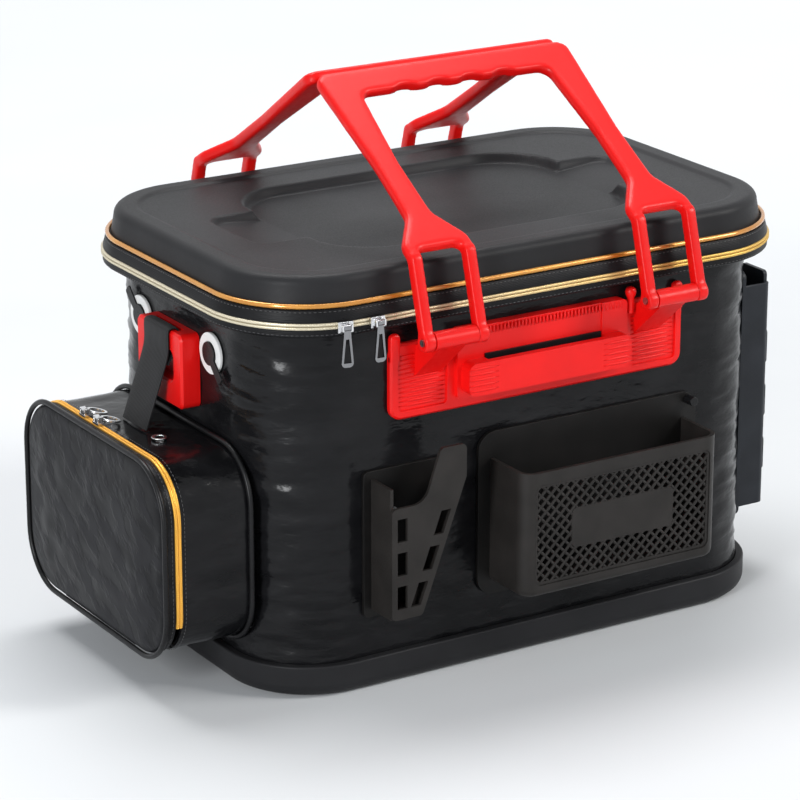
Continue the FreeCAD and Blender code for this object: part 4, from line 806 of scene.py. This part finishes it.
def bake(name, tree, settings, points=(), edges=()):
    """Run a tree on a mesh of points and edges in millimetres, and give back one plain mesh."""
    host_mesh = bpy.data.meshes.new(f"{name}_host")
    host_mesh.from_pydata([Vector(point) * MM for point in points], edges, [])
    host = show(f"{name}_host", host_mesh)
    nodes = host.modifiers.new("nodes", "NODES")
    nodes.node_group = tree
    items = tree.interface.items_tree
    sockets = {item.name: item.identifier for item in items if item.in_out == "INPUT"}
    for label, value in settings.items():
        nodes[sockets[label]] = value
    graph = bpy.context.evaluated_depsgraph_get()
    mesh = bpy.data.meshes.new_from_object(host.evaluated_get(graph))
    mesh.name = name
    bpy.data.objects.remove(host)
    return mesh


def beads(name, path, up, pitch, size, look, closed=True, turn=None):
    """Beads along a level path, or along one stood up on the left end."""
    points = [(u, v, up) for u, v in path]
    edges = [(index, index + 1) for index in range(len(points) - 1)]
    if closed:
        edges.append((len(points) - 1, 0))
    settings = {"Pitch": pitch * MM, "Size": [value * MM for value in size], "Material": look}
    mesh = bake(name, BEADS, settings, points, edges)
    if turn is not None:
        mesh.transform(turn)
    return show(name, mesh)


def bars(name, count, start, step, size, look):
    """A straight row of bars, with sizes in millimetres."""
    settings = {
        "Count": count, "Start": [value * MM for value in start], "Step": [value * MM for value in step],
        "Size": [value * MM for value in size], "Material": look,
    }
    return show(name, bake(name, BARS, settings))


def open_run(path, keep):
    """The part of a closed path that is kept, in order from one end to the other."""
    first = next(index for index in range(len(path)) if keep(path[index]) and not keep(path[index - 1]))
    turned = path[first:] + path[:first]
    return [point for point in turned if keep(point)]


# Bucket walls, tray and rim

def wall_point(x, y, z):
    """Push a point of the wall in a little, where the laminate creases: most round the corners."""
    round_x = max(abs(x) - (HALF_X - CORNER), 0) / CORNER
    round_y = max(abs(y) - (HALF_Y - CORNER), 0) / CORNER
    corner = ease(4 * round_x * round_y)
    creases = abs(ripple(x, y, z, CREASE_BROAD, 3.1)) + 0.5 * abs(ripple(x, y, z, CREASE_FINE, 6.3))
    dents = abs(ripple(x, y, z, DENT_BROAD, 7.7)) + 0.4 * abs(ripple(x, y, z, DENT_FINE, 4.4))
    free = ease((z - CALM_LOW) / CALM_LOW_RUN) * ease((CALM_HIGH - z) / CALM_HIGH_RUN)
    push = free * (FOLD_FLAT * dents + FOLD_CORNER * corner * creases)
    length = math.hypot(x, y)
    return (x - push * x / length, y - push * y / length, z)


def make_walls():
    """The bucket's laminate: from the middle of its floor up inside, over the rim and down outside."""
    inside = -WALL_THICK
    profile = [
        (MIDDLE_REACH, FLOOR_TOP), (inside - FLOOR_FILLET, FLOOR_TOP), (inside, FLOOR_TOP + FLOOR_FILLET),
        (inside, WALL_HIGH),
    ]
    rings = [[(x, y, z) for x, y in plan(reach)] for reach, z in profile]
    count = round((WALL_HIGH - WALL_LOW) / WALL_STEP)
    for step in range(count + 1):
        z = WALL_HIGH + (WALL_LOW - WALL_HIGH) * step / count
        rings.append([wall_point(x, y, z) for x, y in plan(0)])
    obj = piece("bucket_walls", loft(rings), LOOKS["laminate"])
    settle(obj, "bucket", ["body_shell"])


# Lid

def oblong_distance(x, y, half_x, half_y, corner):
    """How far a point is outside a round-cornered oblong, below 0 when inside."""
    across, along = abs(x) - half_x + corner, abs(y) - half_y + corner
    outside = math.hypot(max(across, 0), max(along, 0))
    return outside + min(max(across, along), 0) - corner


def soft_least(a, b, width):
    """The lesser of two distances, with a fillet where they meet."""
    share = max(width - abs(a - b), 0) / width
    return min(a, b) - share * share * width / 4


def lid_height(x, y):
    """The top of the lid: a border, a slight dish, a sunk panel and a rising lobe at each end."""
    edge = -oblong_distance(x, y, HALF_X + LID_REACH, HALF_Y + LID_REACH, CORNER + LID_REACH)
    dish = LID_DISH * ease((edge - LID_BORDER) / LID_BORDER_RUN)
    panel = oblong_distance(x, y, PANEL_X, PANEL_Y, PANEL_CORNER)
    lobe = oblong_distance(x, y, LOBE_X, LOBE_Y, LOBE_CORNER)
    sunk = ease(0.5 - soft_least(panel, lobe, LOBE_BLEND) / PANEL_SLOPE)
    rise = 1 - LOBE_RISE * min(max((abs(x) - PANEL_X + LOBE_START) / LOBE_RUN, 0), 1)
    return LID_TOP - dish * (1 - sunk) - PANEL_DEPTH * rise * sunk


def make_lid():
    """A shell from the middle of its ceiling, down inside the skirt and up over the top."""
    foot, top_of_wall = LEDGE + LID_FOOT_RISE, LID_TOP - LID_EDGE
    profile = [
        (MIDDLE_REACH, HOLLOW_TOP), (HOLLOW_REACH - HOLLOW_FILLET, HOLLOW_TOP),
        (HOLLOW_REACH - HOLLOW_FILLET / 4, HOLLOW_TOP - HOLLOW_FILLET / 4),
        (HOLLOW_REACH, HOLLOW_TOP - HOLLOW_FILLET), (HOLLOW_REACH, SKIRT_LOW),
        (SKIRT_REACH - LIP, SKIRT_LOW), (SKIRT_REACH, SKIRT_LOW + LIP), (SKIRT_REACH, LEDGE - LIP),
        (SKIRT_REACH - LIP, LEDGE), (LID_FOOT_REACH + LIP, LEDGE), (LID_FOOT_REACH, foot),
    ]
    draft = (LID_FOOT_REACH - LID_REACH) / (LID_TOP - LEDGE)
    for step in range(1, LID_WALL_ROWS + 1):
        z = foot + (top_of_wall - foot) * step / LID_WALL_ROWS
        profile.append((LID_FOOT_REACH - draft * (z - LEDGE), z))
    shoulder = profile[-1][0]
    for step in range(1, LID_EDGE_ROWS + 1):
        turn = math.radians(90 * step / LID_EDGE_ROWS)
        inwards, up = LID_EDGE * (1 - math.cos(turn)), LID_EDGE * math.sin(turn)
        profile.append((shoulder - inwards, top_of_wall + up))
    rings = [[(x, y, z) for x, y in plan(reach, LID_ROUND)] for reach, z in profile]
    reach = shoulder - LID_EDGE - LID_STEP
    while reach > 1 - HALF_Y:
        rings.append([(x, y, lid_height(x, y)) for x, y in plan(reach, LID_ROUND)])
        reach -= LID_STEP
    obj = piece("lid_moulding", loft(rings), LOOKS["moulded_foam"], 70)
    settle(obj, "lid", ["lid_shell"])


def make_piping():
    """The gold piping round the lid."""
    shape = sweep(plan(PIPING_REACH), round_profile(PIPING_RADIUS, PIPING_HEIGHT, 12))
    obj = piece("lid_gold_piping", shape, LOOKS["gold_piping"], 180)
    settle(obj, "lid", ["lid_piping"])


# Zip round the lid

def make_zip():
    """The two halves of the zip: teeth on a bed, open at the back where the lid is hinged."""
    run = open_run(plan(CHAIN_REACH), lambda point: point[1] < CHAIN_END)
    for half, body, height in (("lower", "bucket", CHAIN_LOW), ("upper", "lid", CHAIN_HIGH)):
        name = f"zip_teeth_{half}"
        obj = beads(name, run, height, TOOTH_PITCH, TOOTH, LOOKS["gold_chain"], closed=False)
        settle(obj, body, [f"zip_chain_{half}"])
        bed = flat_profile(BED_IN, BED_OUT, height - BED_HALF, height + BED_HALF)
        obj = piece(f"zip_bed_{half}", ribbon(run, bed), LOOKS["gold_chain"])
        settle(obj, body)


def make_tapes():
    """The tapes under and over the zip, each with a row of stitches."""
    low, high = box_mm("zip_tape_lower")
    lower = sweep(plan(0), flat_profile(*LOWER_TAPE, low[2], high[2]))
    obj = piece("tape_below_zip", lower, LOOKS["tape"], 40)
    settle(obj, "bucket", ["zip_tape_lower"])
    obj = piece("tape_above_zip", sweep(plan(0), UPPER_TAPE), LOOKS["tape"], 40)
    settle(obj, "lid", ["zip_tape_upper"])
    rows = (
        ("low", "bucket", LOWER_SEAM, low[2] + LOWER_SEAM_RISE),
        ("high", "lid", UPPER_SEAM, UPPER_SEAM_HEIGHT),
    )
    for label, body, reach, height in rows:
        obj = beads(f"zip_stitches_{label}", plan(reach), height, STITCH_PITCH, STITCH, LOOKS["thread"])
        settle(obj, body)


def cloth_strip(name, across, profile, turn, look):
    """A thin strip of cloth: the outline of its section, carried straight across."""
    rings = []
    for step in range(CLOTH_COLUMNS + 1):
        place = across[0] + (across[1] - across[0]) * step / CLOTH_COLUMNS
        rings.append([turn(place, a, b) for a, b in profile])
    return piece(name, loft(rings), look, 60)


def make_hinge_strip():
    """The cloth behind the lid, which bends as the lid opens."""
    low, high = box_mm("hinge_strip")
    outer = []
    for step in range(HINGE_ROWS + 1):
        share = step / HINGE_ROWS
        swell = HINGE_SWELL * math.sin(math.pi * share)
        outer.append((high[1] - HINGE_INSET + swell, low[2] + (high[2] - low[2]) * share))
    inner = [(low[1], height) for _, height in reversed(outer)]
    obj = cloth_strip("hinge_cloth", (low[0], high[0]), outer + inner, level, LOOKS["tape"])
    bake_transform(obj, "bucket", "lid", HINGE_FIXED, HINGE_MOVED)
    settle(obj, None, ["hinge_strip"])


# Side bag

def bag_wave(u, v, reach):
    """How far the bag's cloth stands in or out at a point of its side wall."""
    broad = ripple(reach, u, v, BAG_BROAD, 1.7)
    creases = ripple(reach, u, v, BAG_CREASE, 5.2)
    return 0.55 * broad + 0.45 * creases


def bag_ring(grow, reach):
    """A plain ring of the bag's outline."""
    return [leftwards(u, v, reach) for u, v in bag_outline(grow)]


def make_bag_shell():
    """The bag's back and side wall: it sags between its two hems and creases across them."""
    inner, floor = -BAG_WALL, BAG_BACK + BAG_WALL
    rings = [bag_ring(inner + BAG_BACK_RING, floor), bag_ring(inner, floor), bag_ring(inner, BAG_ZIP)]
    path = bag_outline(0)
    for step in range(BAG_ROWS + 1):
        share = step / BAG_ROWS
        reach = BAG_ZIP + (BAG_BACK - BAG_ZIP) * share
        held = math.sin(math.pi * share)
        ring = []
        for (u, v), (out_u, out_v) in zip(path, outward(path)):
            sag = BAG_SAG * max(out_v, 0) * BAG_TOP_SHARE
            swell = held * (BAG_FOLD * bag_wave(u, v, reach) - sag + BAG_SAG * BAG_FULL_SHARE)
            ring.append(leftwards(u + out_u * swell, v + out_v * swell, reach))
        rings.append(ring)
    rings.append(bag_ring(BAG_BACK_RING, BAG_BACK))
    obj = piece("bag_gusset", loft(rings), LOOKS["laminate"])
    settle(obj, "bucket", ["bag_shell"])


def flap_reach(u, v, grow):
    """How far out the bag's front stands: a full panel with a pressed relief, calm near its rim."""
    relief = FLAP_BROAD_DEPTH * ripple(0, u - 0.4 * v, v + 0.2 * u, FLAP_BROAD, 9.3)
    relief += FLAP_FINE_DEPTH * ripple(0, u, v, FLAP_FINE, 2.9)
    return FLAP_FRONT + FLAP_CROWN * ease(-grow / CROWN_RUN) + relief * ease(-grow / RELIEF_RUN)


def make_bag_flap():
    """The bag's front: a shallow side band, a rolled rim and the panel."""
    inner, back = -BAG_WALL, FLAP_FRONT - BAG_WALL
    rings = [bag_ring(inner + FLAP_BACK_RING, back), bag_ring(inner, back), bag_ring(inner, FLAP_BACK)]
    rings.append(bag_ring(0, FLAP_BACK))
    for grow, sunk in FLAP_RIM:
        rings.append(bag_ring(grow, FLAP_FRONT - sunk))
    grow = FLAP_FIRST
    while grow > FLAP_LAST:
        rings.append([leftwards(u, v, flap_reach(u, v, grow)) for u, v in bag_outline(grow)])
        grow -= FLAP_STEP
    obj = piece("bag_front_panel", loft(rings), LOOKS["embossed"])
    settle(obj, "bag_front", ["bag_flap"])


def make_bag_bindings():
    """Bindings round the back and the front of the bag."""
    path = bag_outline(BAG_PIPING + BAG_PIPING_GAP)
    ends = (
        ("back", BAG_BACK + BACK_PIPING_REACH, "bucket"),
        ("front", FLAP_FRONT - FRONT_PIPING_INSET, "bag_front"),
    )
    for end, reach, body in ends:
        shape = sweep(path, round_profile(BAG_PIPING, reach), leftwards)
        obj = piece(f"bag_binding_{end}", shape, LOOKS["black_plastic"], 180)
        settle(obj, body, [f"bag_piping_{end}"])


def make_bag_zip():
    """The two rows of zip teeth on their beds, and the rows of stitches beside them."""
    stand = Matrix(((0, 0, -1, 0), (1, 0, 0, 0), (0, 1, 0, 0), (0, 0, 0, 1)))
    low = box_mm("bag_zip_back")[0][2]
    run = open_run(bag_outline(BAG_TOOTH_OUT), lambda point: point[1] > low)
    gold = LOOKS["bag_chain"]
    for end, past, body in (("back", BACK_TEETH, "bucket"), ("front", FRONT_TEETH, "bag_front")):
        reach = BAG_ZIP + past
        name = f"bag_zip_teeth_{end}"
        obj = beads(name, run, reach, BAG_TOOTH_PITCH, BAG_TOOTH, gold, False, stand)
        settle(obj, body, [f"bag_zip_{end}"])
        bed = flat_profile(BAG_BED_IN, BAG_BED_OUT, reach - BAG_BED_HALF, reach + BAG_BED_HALF)
        obj = piece(f"bag_zip_bed_{end}", ribbon(run, bed, leftwards), gold)
        settle(obj, body)
    seam = bag_outline(BAG_SEAM_OUT)
    ends = (
        ("back", BAG_ZIP - BACK_SEAM_INSET, "bucket"),
        ("front", FLAP_BACK + FRONT_SEAM_REACH, "bag_front"),
    )
    for end, reach, body in ends:
        name = f"bag_stitches_{end}"
        obj = beads(name, seam, reach, BAG_STITCH_PITCH, BAG_STITCH, LOOKS["thread"], True, stand)
        settle(obj, body)


def make_bag_hinge():
    """The cloth under the bag, which bends as its front opens."""
    low, high = box_mm("bag_hinge_tape")
    steps = range(BAG_HINGE_ROWS + 1)
    under = [(low[0] + (high[0] - low[0]) * step / BAG_HINGE_ROWS, low[2]) for step in steps]
    outline = under + [(x, high[2]) for x, _ in reversed(under)]
    across = (low[1], high[1])
    obj = cloth_strip("bag_hinge_cloth", across, outline, lambda y, x, z: (x, y, z), LOOKS["tape"])
    reaches = (BAG_HINGE_FIXED, BAG_HINGE_MOVED)
    fixed, moved = [(-reach * MM, BAG_MIDDLE * MM, BAG_LOW * MM) for reach in reaches]
    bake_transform(obj, "bucket", "bag_front", fixed, moved)
    settle(obj, None, ["bag_hinge_tape"])


def make_strap():
    """The webbing: sewn behind itself, up through the side bracket, over its bar and down to the bag."""
    face = HALF_X + STRAP_GAP
    line = curve_through(STRAP_PATH, STRAP_STEPS)
    spots = list(range(-STRAP_SPOTS, STRAP_SPOTS + 1))
    rings = []
    for index, here in enumerate(line):
        before, after = line[max(index - 1, 0)], line[min(index + 1, len(line) - 1)]
        along = (after - before).normalized()
        side = Vector((-along.y, along.x))
        ring = []
        for face_side, order in ((0.5, spots), (-0.5, spots[::-1])):
            for spot in order:
                share = spot / STRAP_SPOTS
                bow = STRAP_BOW * (1 - share * share)
                at = here + side * (STRAP_THICK * face_side * (1 - 0.5 * share ** 6) + bow * 0.3)
                ring.append((-face - at.x, BAG_MIDDLE + STRAP_HALF * share, at.y))
        rings.append(ring)
    obj = piece("strap", loft(rings), LOOKS["webbing"], 70)
    settle(obj, "bucket", ["webbing_loop"])


# Brackets and handles

def red_row(name, row, sign, side):
    """A row of small red bars on a bracket."""
    count, (x, y, z), step, size = row
    obj = bars(name, count, (sign * x, side * y, z), step, size, LOOKS["red_plastic"])
    settle(obj, "bucket")


def make_ear(name, sign, side):
    """The small upright ear at an end of a bracket."""
    rings = []
    for half, z in EAR_RINGS:
        path = oblong(half, EAR_DEPTH * half / EAR_HALF, EAR_CORNER, (2, 2, 3))
        rings.append([(sign * EAR_X + x, side * EAR_Y + y, z) for x, y in path])
    settle(piece(name, loft(rings), LOOKS["red_plastic"]), "bucket")


def shade_slot(end, side):
    """Painted shade in the strap slot: a thin black sheet on its far wall that stands for the shadow inside
    it.
    """
    heights = (SLOT_SHADE_LOW, SLOT_SHADE_LOW, SLOT_SHADE_HIGH, SLOT_SHADE_HIGH)
    shade_outline = list(zip((-SLOT_SHADE_HALF, SLOT_SHADE_HALF, SLOT_SHADE_HALF, -SLOT_SHADE_HALF), heights))
    shape = loft([[(x, side * depth, z) for x, z in shade_outline] for depth in SLOT_SHADE_DEPTHS])
    obj = piece(f"{end}_slot_painted_shade", shape, LOOKS["black_plastic"], 30)
    settle(obj, "bucket")


def make_nub(end, side):
    """The small nub beside the bracket's block."""
    turns = [2 * math.pi * step / NUB_SIDES for step in range(NUB_SIDES)]
    rings = []
    for radius, z in NUB_RINGS:
        spots = [(radius * math.cos(turn), radius * math.sin(turn)) for turn in turns]
        rings.append([(-side * NUB_X + x, side * NUB_Y + y, z) for x, y in spots])
    obj = piece(f"{end}_bracket_nub", loft(rings), LOOKS["red_plastic"], 60)
    settle(obj, "bucket")


def rib_bracket(end):
    """Ribs on a bracket's side panels and bridge, its ears, the painted shade in its slot and its nub, and
    its serrated top edge.
    """
    side = -1 if end == "front" else 1
    for label, sign in (("left", -1), ("right", 1)):
        red_row(f"{end}_panel_ribs_{label}", PANEL_RIBS, sign, side)
        red_row(f"{end}_bridge_ribs_{label}", BRIDGE_RIBS, sign, side)
        make_ear(f"{end}_bracket_ear_{label}", sign, side)
    shade_slot(end, side)
    make_nub(end, side)
    red_row(f"{end}_bracket_teeth", TOP_TEETH, 1, side)


def make_red_parts():
    """The red brackets and handles."""
    for end in ("front", "rear"):
        eased(f"{end}_bracket", LOOKS["red_plastic"], BRACKET_EDGE)
        moulded(f"{end}_handle", LOOKS["red_plastic"])
        rib_bracket(end)
    eased("side_bracket", LOOKS["red_plastic"], SIDE_BRACKET_EDGE)


# Pocket, holders and small hardware

def make_net():
    """The pocket's net: slanting bars, a frame round them and a bare oblong in the middle."""
    low, high = box_mm("mesh_panel")
    middle_x, middle_z = (low[0] + high[0]) / 2, (low[2] + high[2]) / 2
    half_x, half_z = (high[0] - low[0]) / 2, (high[2] - low[2]) / 2
    y = (low[1] + high[1]) / 2
    ends = []
    for slant in (1, -1):
        count = int((half_x + half_z - NET_BAR) / NET_PITCH)
        for step in range(-count, count + 1):
            place = step * NET_PITCH
            for x in (max(-half_x, place - half_z), min(half_x, place + half_z)):
                ends.append((middle_x + x, y + slant * NET_LAP, middle_z + slant * (place - x)))
    strands = [(index, index + 1) for index in range(0, len(ends), 2)]
    grey = LOOKS["grey_plastic"]
    settings = {"Width": NET_BAR * MM, "Depth": NET_THICK * MM, "Material": grey}
    obj = show("pocket_net", bake("pocket_net", STRANDS, settings, ends, strands))
    settle(obj, "bucket", ["mesh_panel"])
    steps = (8, 4, 5)
    path = oblong(half_x, half_z, NET_CORNER, steps, (middle_x, middle_z))
    deep = NET_FRAME_HALF
    band = [(-NET_FRAME, -deep), (0, -deep), (0, deep), (-NET_FRAME, deep)]
    rim = sweep(path, band, lambda u, v, w: (u, y + w, v))
    path = oblong(*LABEL_HALF, NET_CORNER, steps, (middle_x, middle_z))
    bare = loft([[(u, y + w, v) for u, v in path] for w in (-LABEL_THICK_HALF, LABEL_THICK_HALF)])
    for label, shape in (("frame", rim), ("label", bare)):
        obj = piece(f"pocket_net_{label}", shape, grey, 30)
        settle(obj, "bucket")


def pressed_cap(point):
    """Press the cap of an air plug down to a thin disc, a little smaller, that lies close on its ring."""
    past = -point.x - PLUG_FACE * MM
    if past <= 0:
        return point
    middle_y = min(PLUG_MIDDLES, key=lambda middle: abs(point.y - middle * MM)) * MM
    middle_z = PLUG_HEIGHT * MM
    on_cap = math.hypot(point.y - middle_y, point.z - middle_z) < PLUG_CAP * MM
    share = PLUG_SHRINK if on_cap else 1
    y = middle_y + (point.y - middle_y) * share
    z = middle_z + (point.z - middle_z) * share
    return Vector((point.x + past * (1 - PLUG_THIN), y, z))


def make_plain_parts():
    """Hard pieces that keep their CAD shape with eased edges."""
    for finish, edge, nodes in PLAIN_PARTS:
        for node in nodes:
            eased(node, LOOKS[finish], edge)
    for node in ("air_plug_front", "air_plug_rear"):
        eased(node, LOOKS["black_plastic"], SMALL_EDGE, reshape=pressed_cap)
    metal = [node for node, slot in SLOT_OF.items() if slot == "bright_metal"]
    for node in metal:
        hanging = node.startswith("zip_pull")
        eased(node, LOOKS["dark_chrome" if hanging else "bright_metal"], SMALL_EDGE)


def paint_rest():
    """CAD nodes that stay as they are still get their finish."""
    for node, slot in SLOT_OF.items():
        source = NODES[node]
        if not source.hide_render:
            source.data.materials.clear()
            source.data.materials.append(LOOKS[slot])


# Stage, light and camera

def make_floor():
    """A wide pale floor just under the tray."""
    corners = ((-1, -1), (1, -1), (1, 1), (-1, 1))
    points = [(u * FLOOR_HALF, v * FLOOR_HALF, FLOOR_LEVEL) for u, v in corners]
    piece("floor", (points, [(0, 1, 2, 3)]), floor_look())


def make_world():
    """A pale backdrop, seen directly and in gloss, and an even dome of light for everything else."""
    world = bpy.data.worlds.new("studio")
    bpy.context.scene.world = world
    world.use_nodes = True
    tree = world.node_tree
    dome = tree.nodes["Background"]
    dome.inputs["Color"].default_value = DOME_TINT
    dome.inputs["Strength"].default_value = DOME_LEVEL
    backdrop = tree.nodes.new("ShaderNodeBackground")
    backdrop.inputs["Color"].default_value = BACKDROP
    either = tree.nodes.new("ShaderNodeMixShader")
    tree.links.new(background_rays(tree), either.inputs[0])
    tree.links.new(dome.outputs[0], either.inputs[1])
    tree.links.new(backdrop.outputs[0], either.inputs[2])
    tree.links.new(either.outputs[0], tree.nodes["World Output"].inputs["Surface"])


def soft_light(name, place, width, height, power, tint):
    """A soft oblong lamp that faces the bucket."""
    lamp = bpy.data.lights.new(name, "AREA")
    lamp.shape = "RECTANGLE"
    lamp.size = width
    lamp.size_y = height
    lamp.energy = power
    lamp.color = tint
    obj = bpy.data.objects.new(name, lamp)
    bpy.context.scene.collection.objects.link(obj)
    obj.location = place
    aim = Vector(LAMP_AIM) - Vector(place)
    obj.rotation_euler = aim.to_track_quat("-Z", "Y").to_euler()


def make_camera():
    """A long lens from the front left, a little above."""
    azimuth, elevation = math.radians(AZIMUTH), math.radians(ELEVATION)
    right = Vector((math.cos(azimuth), math.sin(azimuth), 0))
    flat = math.cos(elevation)
    back = Vector((math.sin(azimuth) * flat, -math.cos(azimuth) * flat, math.sin(elevation)))
    up = back.cross(right)
    lens = bpy.data.cameras.new("camera")
    lens.lens = LENS
    lens.sensor_width = SENSOR
    lens.clip_end = FAR_END
    obj = bpy.data.objects.new("camera", lens)
    bpy.context.scene.collection.objects.link(obj)
    place = (right * SHIFT_RIGHT + up * SHIFT_UP + back * DISTANCE) * MM
    turn = Matrix((right, up, back)).transposed().to_4x4()
    obj.matrix_world = Matrix.Translation(place) @ turn
    bpy.context.scene.camera = obj


make_walls()
make_lid()
make_piping()
make_zip()
make_tapes()
make_hinge_strip()
make_bag_shell()
make_bag_flap()
make_bag_bindings()
make_bag_zip()
make_bag_hinge()
make_strap()
make_red_parts()
make_net()
make_plain_parts()
paint_rest()
make_floor()
make_world()
for lamp_name, lamp_values in LAMPS.items():
    soft_light(lamp_name, *lamp_values)
make_camera()
bpy.context.scene.view_settings.view_transform = "Standard"
